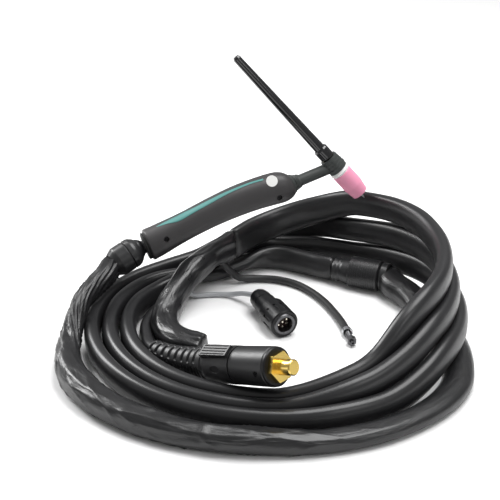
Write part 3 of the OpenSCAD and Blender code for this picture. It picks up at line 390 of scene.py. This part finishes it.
# Its route, each point with the shares of the sleeve's width and height there
SLEEVE = [[-53, 68, 40.7, 0.82, 1], [-69, 46, 36, 0.88, 1], [-83.5, 24, 26, 0.93, 1],
          [-92.5, 2, 17, 0.97, 1], [-95, -19, 13.8, 1, 0.94], [-89, -41, 12.6, 1, 0.86],
          [-74, -57, 12.4, 1.04, 0.84]]
sleeve_start = rows[-1, :3] + end_way * FIT
sleeve_route = [[x, y, z, SLEEVE_W * wide, SLEEVE_H * high] for x, y, z, wide, high in SLEEVE]
sleeve_rows = resample([[*sleeve_start, HOSE_W + 2, HOSE_H + SLEEVE_STEP], *sleeve_route,
                        [-56, -66, 13, SLEEVE_W - 3, SLEEVE_H - 5]], 1.8)
sleeve_path = at(sleeve_rows[:, :3])


def sleeve_relief(s, a):
    dimple = np.clip(ripple(s, a, scale=34, seed=2.6, around=1.5) - 0.12, 0, 1)
    crease = creased(s, a, 3, scale=15, seed=7.7, twist=12, around=1.2)
    return 0.0012 * (crease - 0.5) - 0.003 * dimple


sleeve = sweep("sleeve", sleeve_path, sleeve_rows[:, 3] / 1000, sleeve_rows[:, 4] / 1000,
               48, 2.4, end_way, [1, -0.4, 0.1], relief=sleeve_relief,
               rounding=0.004)


# ---------- leads ----------
def lead(name, path, diameter, sides, last, **settings):
    return sweep(name, path, diameter, diameter, sides, 2.0, None, last, **settings)


PIN_LEN, HEX_T, HOUSING_LEN, PLUG_SLEEVE_LEN, CONN_LEN = 14, 5, 45, 37, 64
plug_len = PIN_LEN / 2 + HEX_T + HOUSING_LEN + PLUG_SLEEVE_LEN
boot_front = in_layout(PLUG, [-plug_len - FIT, 0, 0])
boot_end = np.array([-101, -72, 13.5])
boot_out = np.array([-0.55, 0.83, -0.12]) / np.linalg.norm([-0.55, 0.83, -0.12])
plug_axis = turned(*PLUG_TURN)[:, 0]
POWER = [[-80, 31, 20], [-94, 26.5, 12], [-102.6, 19.5, 8], [-110.2, 4.5, 6.4],
         [-113.4, -16, 6.3], [-111.4, -37, 7], [-107.4, -59, 10.5]]
power_path = at(resample([*POWER, boot_end + boot_out * FIT], 2))
power = lead("power_lead", power_path, 0.012, 28, -boot_out)

CONTROL = [[-74, 38, 25], [-75.5, 44, 16], [-74, 50, 7.5], [-67, 53.5, 3.6], [-58, 56, 2.8],
           [-45, 57, 2.8], [-32, 54, 4.5], [-22, 47, 9]]
control_end = in_layout(CONN, [-CONN_LEN - FIT, 0, 0])
control_path = at(resample([*CONTROL, control_end], 1.5))

GAS = [[-45, 78, 32], [-36, 83, 18], [-25, 86, 7], [-8, 90, 3.9], [12, 88, 3.9], [32, 78, 3.9],
       [48, 60, 3.9], [60, 39, 3.9], [69, 16, 3.9], [75.5, -7, 4.6], [79, -26, 4.9]]
gas_path = at(resample(GAS, 2))

# The plug's boot: blocks with windows between them on top, close ribs underneath
BOOT_R, BOOT_FLARE = 9, 6.5    # radius at the cable, and how much it grows toward the plug
share = np.linspace(0, 1, 250)[:, None]
back = 1 - share
boot_path = at(back ** 3 * boot_end + 3 * back ** 2 * share * (boot_end - boot_out * 20)
               + 3 * back * share ** 2 * (boot_front - plug_axis * 30) + share ** 3 * boot_front)
boot_len = length_of(boot_path)
boot_d = 2 * (BOOT_R + BOOT_FLARE * share[:, 0]) / 1000
BOOT_TOP = 58                  # degrees round the section where the windows are centred
RIBS, BLOCKS = 17, 8.5         # along the boot


def boot_relief(s, a):
    t = s / boot_len
    off = abs((a - math.radians(BOOT_TOP) + math.pi) % (2 * math.pi) - math.pi)
    ends = ramp(t, 0, 0.04) * ramp(t, 0.965, -0.03)
    top = 1 - ramp(off, math.radians(48), math.radians(7))
    middle = 1 - ramp(off, math.radians(30), math.radians(5))
    rib = 0.5 - 0.5 * np.cos(2 * math.pi * (t * RIBS + 0.3))
    block = (t * BLOCKS + 0.15) % 1
    window = ramp(block, 0.34, 0.07) * ramp(block, 0.78, -0.07)
    return -ends * (0.0019 * (1 - top) * rib ** 1.5 + 0.0027 * top * middle * window
                    + 0.0006 * top * (1 - middle) * window)


boot = sweep("boot", boot_path, boot_d, boot_d, 96, 2.0, -boot_out, plug_axis,
             relief=boot_relief, rounding=0.0008)
control = lead("control_lead", control_path, 0.005, 20, turned(*CONN_TURN)[:, 0])
gas = lead("gas_lead", gas_path, 0.0072, 24, [3.5, -19, 0], rounding=0.0006)

for piece, cad in ((hose, "hose_coil"), (leather, "leather_cover"), (sleeve, "end_sleeve"),
                   (power, "power_cable"), (control, "control_cable"), (gas, "gas_hose"),
                   (boot, "plug_boot")):
    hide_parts(cad)

# ---------- handle ----------
HANDLE_LEN, BULGE = 155.0, 2.5
# Share of the length, middle height, half height and half width
STATIONS = np.array([
    [0, -2.3, 15.8, 14.5], [0.08, -1.6, 15.2, 14], [0.18, -0.1, 14.2, 13.2],
    [0.29, 1.4, 13.7, 12.8], [0.4, 2.9, 13.9, 12.8], [0.52, 3.9, 14.4, 13],
    [0.63, 4.2, 15, 13.4], [0.75, 3.4, 15.4, 13.8], [0.85, 1.9, 15.9, 14],
    [0.93, 0.2, 15.6, 13.6], [0.974, -0.8, 13.4, 12], [1, -1.6, 10.4, 10]])
FINE = resample(np.column_stack([STATIONS[:, 0] * HANDLE_LEN, np.zeros((len(STATIONS), 2)),
                                 STATIONS[:, 1:]]), 0.5)


def station_of(x):
    return [np.interp(x, FINE[:, 0], FINE[:, c]) for c in (3, 4, 5)]


def flank(x, z):
    mid, high, wide = station_of(x)
    return wide * (1 - np.clip(abs(z - mid) / high, 0, 1) ** BULGE) ** (1 / BULGE)


def facing(side, faces):
    """Faces written for side -1, turned over for side 1."""
    return faces if side < 0 else [f[::-1] for f in faces]


REAR_ROUND, REAR_TAPER = 1.5, 0.07      # the rear rim is rounded over this length, by this share
SEAM_DEPTH, SEAM_W = 0.016, 0.45        # a shallow groove where the shells meet
HALF_GAP = 0.1


def handle_half(name, side):
    """One shell: the outer skin as a closed solid up to just short of the parting plane."""
    xs = np.unique(np.concatenate([[0, 0.3, 0.8, 1.5],
                                   np.linspace(2.5, HANDLE_LEN - 2, 120),
                                   [HANDLE_LEN - 1.2, HANDLE_LEN - 0.5, HANDLE_LEN]]))
    arc = np.linspace(-math.pi / 2, math.pi / 2, 61)
    verts, faces = [], []
    for x in xs:
        mid, high, wide = station_of(x)
        to_rear = 1 - min(1, x / REAR_ROUND)
        k = 1 - REAR_TAPER * (1 - math.sqrt(max(0, 1 - to_rear ** 2)))
        for a in arc:
            c, s = math.cos(a), math.sin(a)
            seam = 1 - SEAM_DEPTH * math.exp(-((abs(a) - math.pi / 2) * high / SEAM_W) ** 2)
            y = max(HALF_GAP, wide * k * c ** (2 / BULGE) if c > 1e-9 else HALF_GAP)
            z = high * k * seam * math.copysign(abs(s) ** (2 / BULGE), s)
            verts.append((x, side * y, mid + z))
    m = len(arc)
    last = (len(xs) - 1) * m
    for i in range(0, last, m):
        for j in range(m - 1):
            faces.append((i + j, i + j + 1, i + m + j + 1, i + m + j))
        faces.append((i, i + m, i + m + m - 1, i + m - 1))
    faces.append(tuple(range(m))[::-1])
    faces.append(tuple(last + j for j in range(m)))
    return make(name, put(TORCH, verts), facing(side, faces), "torch")


def cutter(matrix, verts, faces):
    mesh = bpy.data.meshes.new("cutter")
    mesh.from_pydata([tuple(v) for v in put(matrix, verts)], [], faces)
    obj = bpy.data.objects.new("cutter", mesh)
    bpy.context.scene.collection.objects.link(obj)
    return obj


def prism(outline, low, high):
    """Outline in the plane of x and z, from y low to y high."""
    n = len(outline)
    verts = [(x, low, z) for x, z in outline] + [(x, high, z) for x, z in outline]
    faces = [tuple(range(n)), tuple(range(2 * n - 1, n - 1, -1))]
    faces += [(i, n + i, n + (i + 1) % n, (i + 1) % n) for i in range(n)]
    return verts, faces


def circle(x, z, r, n=48):
    turns = [2 * math.pi * i / n for i in range(n)]
    return [(x + r * math.cos(a), z + r * math.sin(a)) for a in turns]


def cut(obj, cutters):
    obj.modifiers.new("flat", "TRIANGULATE")
    for c in cutters:
        m = obj.modifiers.new("cut", "BOOLEAN")
        m.operation, m.solver, m.object = "DIFFERENCE", "EXACT", c
    dg = bpy.context.evaluated_depsgraph_get()
    mesh = bpy.data.meshes.new_from_object(obj.evaluated_get(dg))
    obj.modifiers.clear()
    old, obj.data = obj.data, mesh
    bpy.data.meshes.remove(old)
    for c in cutters:
        bpy.data.objects.remove(c)
    obj.data.polygons.foreach_set("use_smooth", [True] * len(obj.data.polygons))


near = handle_half("handle_near_skin", -1)
far = handle_half("handle_far_skin", 1)

# Screw holes and the badge's pocket in the near shell
SCREWS = [(0.116 * HANDLE_LEN, -0.4), (0.885 * HANDLE_LEN, -6.3)]
SCREW_HOLE_R, SCREW_SEAT = 2.9, -7.1
BADGE_X, BADGE_Z, BADGE_LEAN, BADGE_R, BADGE_DEPTH = 0.877 * HANDLE_LEN, 12.2, 25, 5.85, 1.02
badge_turn = np.column_stack([rot("X", 90 - BADGE_LEAN),
                              [BADGE_X, -flank(BADGE_X, BADGE_Z), BADGE_Z]])
BADGE = TORCH @ np.vstack([badge_turn, [0, 0, 0, 1]])
near_cuts = [cutter(TORCH, *prism(circle(x, z, SCREW_HOLE_R), -30, SCREW_SEAT))
             for x, z in SCREWS]
# The pocket is drawn with y and z swapped, which mirrors it, so its faces turn over
pocket, pocket_faces = prism(circle(0, 0, BADGE_R), -BADGE_DEPTH, 6)
near_cuts.append(cutter(BADGE, [(x, z, y) for x, y, z in pocket],
                        [f[::-1] for f in pocket_faces]))
cut(near, near_cuts)

# The trigger's slot in the far shell
TRIGGER_X, TRIGGER_Z, SLOT_HALF, SLOT_R = 0.7 * HANDLE_LEN, 7.5, 8.5, 3.9
slot = [(TRIGGER_X + end * SLOT_HALF + SLOT_R * math.cos(a), TRIGGER_Z + SLOT_R * math.sin(a))
        for end, a0 in ((1, -90), (-1, 90)) for a in np.radians(np.linspace(a0, a0 + 180, 15))]
cut(far, [cutter(TORCH, *prism(slot, 4.5, 30))])
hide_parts("handle_near")
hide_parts("handle_far")

# Share of the length, and the heights between which the inlay lies there
INLAY_EDGES = ((0.09, 12.9, 13.2), (0.16, 12, 13.8), (0.235, 10.4, 14.4), (0.33, 12.1, 15.5),
               (0.45, 14.2, 17.1), (0.6, 16.6, 18.5), (0.74, 16.9, 18.2), (0.832, 15.5, 17))
INLAY = resample([[x * HANDLE_LEN, low, 0, high] for x, low, high in INLAY_EDGES],
                 1.0)
INLAY_POINTS, INLAY_SINK, INLAY_UNDER, INLAY_PROUD = 14, 0.35, 0.6, 1.05


def inlay_skin():
    """Both inlays: a strip that stands a little proud of each flank and reaches into it."""
    verts, faces = [], []
    n, m = INLAY_POINTS, 2 * INLAY_POINTS
    for side in (-1, 1):
        first = len(verts)
        for i, (x, low, _, high) in enumerate(INLAY):
            end = min(1, min(i, len(INLAY) - 1 - i) / 2)
            across = [j / (n - 1) for j in range(n)]
            zs = [high - (high - low) * (1 - t) ** 1.8 for t in across]
            for t, z in zip(across, zs):
                dome = max(0, 1 - (2 * t - 1) ** 4) ** 0.5
                proud = -INLAY_SINK + INLAY_PROUD * dome * (0.4 + 0.6 * end)
                verts.append((x, side * (flank(x, z) + proud), z))
            for z in reversed(zs):
                verts.append((x, side * (flank(x, z) - INLAY_UNDER), z))
        last = first + (len(INLAY) - 1) * m
        strip = [(i + j, i + (j + 1) % m, i + m + (j + 1) % m, i + m + j)
                 for i in range(first, last, m) for j in range(m)]
        strip.append(tuple(first + j for j in range(m))[::-1])
        strip.append(tuple(last + j for j in range(m)))
        faces += facing(side, strip)
    return make("inlay_skin", put(TORCH, verts), faces, "torch")


inlay = inlay_skin()
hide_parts("grip_inlays")


# ---------- materials ----------
def group(name, inputs, outputs):
    """A shared node group: inputs and outputs are (name, kind, default)."""
    g = bpy.data.node_groups.new(name, "ShaderNodeTree")
    for kind, ends in (("INPUT", inputs), ("OUTPUT", outputs)):
        for label, socket, *default in ends:
            s = g.interface.new_socket(name=label, in_out=kind, socket_type="NodeSocket" + socket)
            if default:
                s.default_value = default[0]
    return g, g.nodes.new("NodeGroupInput"), g.nodes.new("NodeGroupOutput")


def feed(tree, socket, value):
    if isinstance(value, bpy.types.NodeSocket):
        tree.links.new(value, socket)
    else:
        socket.default_value = value


def node(tree, kind, **settings):
    n = tree.nodes.new("ShaderNode" + kind)
    links = settings.pop("links", {})
    for k, v in settings.items():
        setattr(n, k, v)
    for k, v in links.items():
        feed(tree, n.inputs[k], v)
    return n


def calc(tree, operation, a, b=0.0, c=0.0, clamp=False):
    n = node(tree, "Math", operation=operation, use_clamp=clamp)
    for i, v in enumerate((a, b, c)):
        feed(tree, n.inputs[i], v)
    return n.outputs[0]


def stretched(tree, vector, scale):
    return node(tree, "Mapping", links={"Vector": vector, "Scale": scale}).outputs[0]


def shaded(tree, colour, factor):
    """colour times factor."""
    n = node(tree, "VectorMath", operation="SCALE", links={"Vector": colour, "Scale": factor})
    return n.outputs[0]


def noise_of(tree, vector, scale, detail=3.0, rough=0.55):
    return node(tree, "TexNoise", links={"Vector": vector, "Scale": scale, "Detail": detail,
                                         "Roughness": rough}).outputs["Fac"]


COMMON_IN = [("Vector", "Vector"), ("Base", "Color", (0.5, 0.5, 0.5, 1)), ("Vary", "Float", 0.2),
             ("Rough", "Float", 0.5), ("Spread", "Float", 0.1), ("Grain", "Float", 1500.0)]
COMMON_OUT = [("Color", "Color"), ("Roughness", "Float"), ("Height", "Float")]


def finish_group(g, gi, go, tone, rough, height):
    tint = calc(g, "MULTIPLY_ADD", tone, gi.outputs["Vary"], 1.0)
    colour = shaded(g, gi.outputs["Base"], tint)
    r = calc(g, "MULTIPLY_ADD", rough, gi.outputs["Spread"], gi.outputs["Rough"], clamp=True)
    for socket, label in ((colour, "Color"), (r, "Roughness"), (height, "Height")):
        g.links.new(socket, go.inputs[label])
    return g


def moulded():
    """Plastic and rubber from a mould: fine grain and broad unevenness."""
    g, gi, go = group("moulded", COMMON_IN, COMMON_OUT)
    v = gi.outputs["Vector"]
    broad = calc(g, "SUBTRACT", noise_of(g, v, 45.0, 4.0), 0.5)
    fine = noise_of(g, v, gi.outputs["Grain"], 2.0)
    height = calc(g, "ADD", calc(g, "MULTIPLY", fine, 0.7), calc(g, "MULTIPLY", broad, 0.6))
    patches = calc(g, "SUBTRACT", noise_of(g, v, 160.0, 5.0), 0.5)
    return finish_group(g, gi, go, broad, patches, height)


def extruded():
    """Rubber hose skin: die lines along it, scuffs and a little dust, on the run coordinates."""
    g, gi, go = group("extruded", COMMON_IN, COMMON_OUT)
    v = gi.outputs["Vector"]
    lines = noise_of(g, stretched(g, v, (6, 420, 420)), 1.0, 3.0)
    scuff = noise_of(g, stretched(g, v, (26, 120, 120)), 1.0, 6.0, 0.62)
    mark = calc(g, "SUBTRACT", scuff, 0.58, clamp=True)
    mark = calc(g, "MULTIPLY", mark, 2.6, clamp=True)
    tone = calc(g, "ADD", calc(g, "SUBTRACT", lines, 0.5), calc(g, "MULTIPLY", mark, 1.6))
    fine = noise_of(g, v, gi.outputs["Grain"], 2.0)
    height = calc(g, "ADD", calc(g, "MULTIPLY", lines, 0.8), calc(g, "MULTIPLY", fine, 0.25))
    rough = calc(g, "ADD", calc(g, "SUBTRACT", scuff, 0.5), calc(g, "MULTIPLY", mark, 0.8))
    return finish_group(g, gi, go, tone, rough, height)


def hide():
    """Leather: pebbled grain, drawn creases darkened with painted shade, and rubbed high spots."""
    g, gi, go = group("hide", COMMON_IN, COMMON_OUT)
    v = gi.outputs["Vector"]
    pebbles = node(g, "TexVoronoi", feature="F1",
                   links={"Vector": v, "Scale": gi.outputs["Grain"]}).outputs["Distance"]
    warp = noise_of(g, stretched(g, v, (30, 110, 110)), 1.0, 4.0)
    crease = calc(g, "ABSOLUTE", calc(g, "SUBTRACT", warp, 0.5))
    crease = calc(g, "SUBTRACT", 1.0, calc(g, "MULTIPLY", crease, 9.0, clamp=True))
    rub = calc(g, "SUBTRACT", noise_of(g, v, 70.0, 4.0), 0.5)
    grain = calc(g, "MULTIPLY", pebbles, -0.22)
    height = calc(g, "SUBTRACT", grain, calc(g, "MULTIPLY", crease, 0.8))
    # The creases darken the colour as well as sinking the bump: painted shade along the creases
    tone = calc(g, "ADD", rub, calc(g, "MULTIPLY", crease, -0.35))
    return finish_group(g, gi, go, tone, rub, height)


def turned_metal():
    """Metal from the lathe: close rings across the piece and smears."""
    g, gi, go = group("turned_metal", COMMON_IN, COMMON_OUT)
    v = gi.outputs["Vector"]
    lathe = noise_of(g, stretched(g, v, (2600, 60, 60)), 1.0, 2.0)
    smear = calc(g, "SUBTRACT", noise_of(g, v, 190.0, 4.0), 0.5)
    return finish_group(g, gi, go, smear, smear, lathe)


GROUPS = {f.__name__: f() for f in (moulded, extruded, hide, turned_metal)}


def material(name, style, base, rough, vary, spread, grain, bump, metal=0.0, coat=0.0,
             coat_rough=0.1, specular=0.5, subsurface=0.0, edge=0.0):
    """One finish of a shared style; bump and edge (its softened corners) in millimetres."""
    m = bpy.data.materials.new(name)
    m.use_nodes = True
    tree = m.node_tree
    tree.nodes.clear()
    out = node(tree, "OutputMaterial")
    shader = node(tree, "BsdfPrincipled")
    tree.links.new(shader.outputs[0], out.inputs[0])
    if style in ("extruded", "hide"):
        coords = node(tree, "Attribute", attribute_name="run").outputs["Vector"]
    else:
        coords = node(tree, "TexCoord").outputs["Object"]
    g = node(tree, "Group", node_tree=GROUPS[style], links={
        "Vector": coords, "Base": (*base, 1), "Vary": vary, "Rough": rough, "Spread": spread,
        "Grain": grain})
    tree.links.new(g.outputs["Color"], shader.inputs["Base Color"])
    tree.links.new(g.outputs["Roughness"], shader.inputs["Roughness"])
    b = node(tree, "Bump", links={"Height": g.outputs["Height"], "Strength": 1.0,
                                  "Distance": bump / 1000})
    if edge:
        bevel = node(tree, "Bevel", samples=4, links={"Radius": edge / 1000})
        tree.links.new(bevel.outputs[0], b.inputs["Normal"])
    tree.links.new(b.outputs[0], shader.inputs["Normal"])
    for label, value in (("Metallic", metal), ("Coat Weight", coat),
                         ("Coat Roughness", coat_rough), ("Specular IOR Level", specular)):
        shader.inputs[label].default_value = value
    if subsurface:
        shader.inputs["Subsurface Weight"].default_value = subsurface
        shader.inputs["Subsurface Radius"].default_value = (0.004, 0.002, 0.002)
        shader.inputs["Subsurface Scale"].default_value = 1.0
    return m


LOOKS = {
    "cap_plastic": dict(style="moulded", base=(0.004, 0.004, 0.005), rough=0.12, vary=0.2,
                        spread=0.05, grain=900, bump=0.01, coat=0.6, coat_rough=0.06),
    "seal_rubber": dict(style="moulded", base=(0.012, 0.012, 0.012), rough=0.6, vary=0.3,
                        spread=0.2, grain=2200, bump=0.03),
    "brass": dict(style="turned_metal", base=(0.8, 0.58, 0.17), rough=0.24, vary=0.22,
                  spread=0.18, grain=900, bump=0.012, metal=1.0, edge=0.35),
    "head_rubber": dict(style="moulded", base=(0.034, 0.039, 0.037), rough=0.5, vary=0.3,
                        spread=0.2, grain=2600, bump=0.05, edge=0.3),
    "white_gasket": dict(style="moulded", base=(0.86, 0.86, 0.85), rough=0.42, vary=0.05,
                         spread=0.1, grain=1200, bump=0.02, subsurface=0.15),
    "copper": dict(style="turned_metal", base=(0.72, 0.42, 0.27), rough=0.3, vary=0.25,
                   spread=0.2, grain=900, bump=0.012, metal=1.0, edge=0.2),
    "tungsten": dict(style="turned_metal", base=(0.6, 0.61, 0.62), rough=0.28, vary=0.12,
                     spread=0.15, grain=900, bump=0.01, metal=1.0),
    "pink_ceramic": dict(style="moulded", base=(0.84, 0.32, 0.47), rough=0.48, vary=0.14,
                         spread=0.12, grain=1800, bump=0.03, subsurface=0.12),
    "handle_plastic": dict(style="moulded", base=(0.038, 0.036, 0.037), rough=0.46, vary=0.25,
                           spread=0.16, grain=2400, bump=0.045),
    "inlay_rubber": dict(style="moulded", base=(0.066, 0.22, 0.206), rough=0.4, vary=0.15,
                         spread=0.12, grain=1800, bump=0.02),
    # Screw steel nearly black, so the heads in their counterbored holes read dark: painted shade
    # in the recesses
    "screw_steel": dict(style="turned_metal", base=(0.05, 0.05, 0.052), rough=0.4, vary=0.3,
                        spread=0.2, grain=900, bump=0.02, metal=1.0),
    "badge_face": dict(style="moulded", base=(0.8, 0.8, 0.78), rough=0.22, vary=0.04,
                       spread=0.08, grain=900, bump=0.008, coat=0.5),
    "button_plastic": dict(style="moulded", base=(0.09, 0.095, 0.1), rough=0.42, vary=0.2,
                           spread=0.15, grain=2000, bump=0.03, edge=0.5),
    "switch_plastic": dict(style="moulded", base=(0.02, 0.08, 0.09), rough=0.4, vary=0.2,
                           spread=0.15, grain=1200, bump=0.02),
    "swivel_plastic": dict(style="moulded", base=(0.016, 0.016, 0.017), rough=0.34, vary=0.3,
                           spread=0.16, grain=1500, bump=0.03, edge=0.4),
    "cover_leather": dict(style="hide", base=(0.011, 0.011, 0.012), rough=0.33, vary=0.6,
                          spread=0.16, grain=900, bump=0.17, specular=0.55),
    "hose_rubber": dict(style="extruded", base=(0.013, 0.013, 0.014), rough=0.34, vary=0.5,
                        spread=0.2, grain=1600, bump=0.08),
    "sleeve_leather": dict(style="hide", base=(0.012, 0.012, 0.013), rough=0.3, vary=0.5,
                           spread=0.2, grain=700, bump=0.3, coat=0.15, coat_rough=0.3),
    "cable_rubber": dict(style="extruded", base=(0.014, 0.014, 0.015), rough=0.42, vary=0.4,
                         spread=0.2, grain=1600, bump=0.06),
    "plug_rubber": dict(style="moulded", base=(0.008, 0.008, 0.009), rough=0.4, vary=0.3,
                        spread=0.16, grain=2000, bump=0.05, coat=0.12, coat_rough=0.3,
                        edge=0.35),
    "grey_cable": dict(style="extruded", base=(0.36, 0.37, 0.385), rough=0.4, vary=0.12,
                       spread=0.12, grain=1600, bump=0.04),
    "connector_plastic": dict(style="moulded", base=(0.006, 0.006, 0.007), rough=0.36, vary=0.3,
                              spread=0.18, grain=2000, bump=0.04, specular=0.3, edge=0.4),
    "bright_metal": dict(style="turned_metal", base=(0.11, 0.11, 0.115), rough=0.36, vary=0.15,
                         spread=0.2, grain=900, bump=0.012, metal=1.0, edge=0.2),
    "insert_plastic": dict(style="moulded", base=(0.022, 0.006, 0.005), rough=0.4, vary=0.2,
                           spread=0.15, grain=1500, bump=0.02),
    "contact_metal": dict(style="turned_metal", base=(0.85, 0.8, 0.68), rough=0.22, vary=0.1,
                          spread=0.1, grain=900, bump=0.006, metal=1.0),
    "gas_rubber": dict(style="extruded", base=(0.014, 0.014, 0.015), rough=0.5, vary=0.5,
                       spread=0.2, grain=1800, bump=0.12),
    "clamp_steel": dict(style="turned_metal", base=(0.5, 0.51, 0.53), rough=0.3, vary=0.2,
                        spread=0.2, grain=900, bump=0.012, metal=1.0, edge=0.15),
}
MATS = {name: material(name, **look) for name, look in LOOKS.items()}
slot_of = {s["node"]: s["material_slot"] for s in frame["record"]["subparts"]}
SKINS = {"hose": "hose_coil", "leather": "leather_cover", "sleeve": "end_sleeve",
         "power_lead": "power_cable", "control_lead": "control_cable", "gas_lead": "gas_hose",
         "boot": "plug_boot", "handle_near_skin": "handle_near", "handle_far_skin": "handle_far",
         "inlay_skin": "grip_inlays"}
for o in list(nodes.values()) + [bpy.data.objects[n] for n in SKINS]:
    name = slot_of[SKINS.get(o.name, o.name)]
    o.data.materials.clear()
    o.data.materials.append(MATS[name])
SHARP_EDGE = math.radians(38)
for o in (near, far):
    o.modifiers.new("edges", "EDGE_SPLIT").split_angle = SHARP_EDGE

# ---------- stage and light ----------
FLOOR_HALF = 9
corners = [(x * FLOOR_HALF, y * FLOOR_HALF, 0) for x, y in ((-1, -1), (1, -1), (1, 1), (-1, 1))]
mesh = bpy.data.meshes.new("floor")
mesh.from_pydata(corners, [], [(0, 1, 2, 3)])
floor = bpy.data.objects.new("floor", mesh)
floor.location = (0, 0, FLOOR_Z - 0.0002)
bpy.context.scene.collection.objects.link(floor)
fm = bpy.data.materials.new("floor")
fm.use_nodes = True
shader = fm.node_tree.nodes["Principled BSDF"]
shader.inputs["Base Color"].default_value = (0.93, 0.93, 0.93, 1)
shader.inputs["Roughness"].default_value = 0.7
shader.inputs["Specular IOR Level"].default_value = 0.2
mesh.materials.append(fm)


def lamp(name, spot, aim, size, power):
    data = bpy.data.lights.new(name, "AREA")
    data.shape, data.size, data.size_y, data.energy = "RECTANGLE", size[0], size[1], power
    o = bpy.data.objects.new(name, data)
    o.location = spot
    o.rotation_euler = (Vector(aim) - Vector(spot)).to_track_quat("-Z", "Y").to_euler()
    bpy.context.scene.collection.objects.link(o)


lamp("overhead", (0.35, 0.3, 1.35), (0, 0.12, 0), (1.3, 0.9), 25)
lamp("left", (-1.0, 0.8, 0.75), (-0.12, 0.08, 0), (0.5, 0.8), 17)
lamp("right", (1.0, -0.9, 0.9), (0, 0.15, 0), (0.5, 0.5), 3)

# The camera sees a white surround, the piece is lit by a dimmer one
SURROUND_LIGHT = 0.36
world = bpy.data.worlds.new("world")
bpy.context.scene.world = world
world.use_nodes = True
wt = world.node_tree
wt.nodes.clear()
path_node = node(wt, "LightPath")
soft = node(wt, "Background", links={"Color": (1, 1, 1, 1), "Strength": SURROUND_LIGHT})
white = node(wt, "Background", links={"Color": (1, 1, 1, 1), "Strength": 1.0})
mix = node(wt, "MixShader")
wt.links.new(path_node.outputs["Is Camera Ray"], mix.inputs[0])
wt.links.new(soft.outputs[0], mix.inputs[1])
wt.links.new(white.outputs[0], mix.inputs[2])
wt.links.new(mix.outputs[0], node(wt, "OutputWorld").inputs[0])
bpy.context.scene.view_settings.view_transform = "Standard"

bpy.context.view_layer.update()
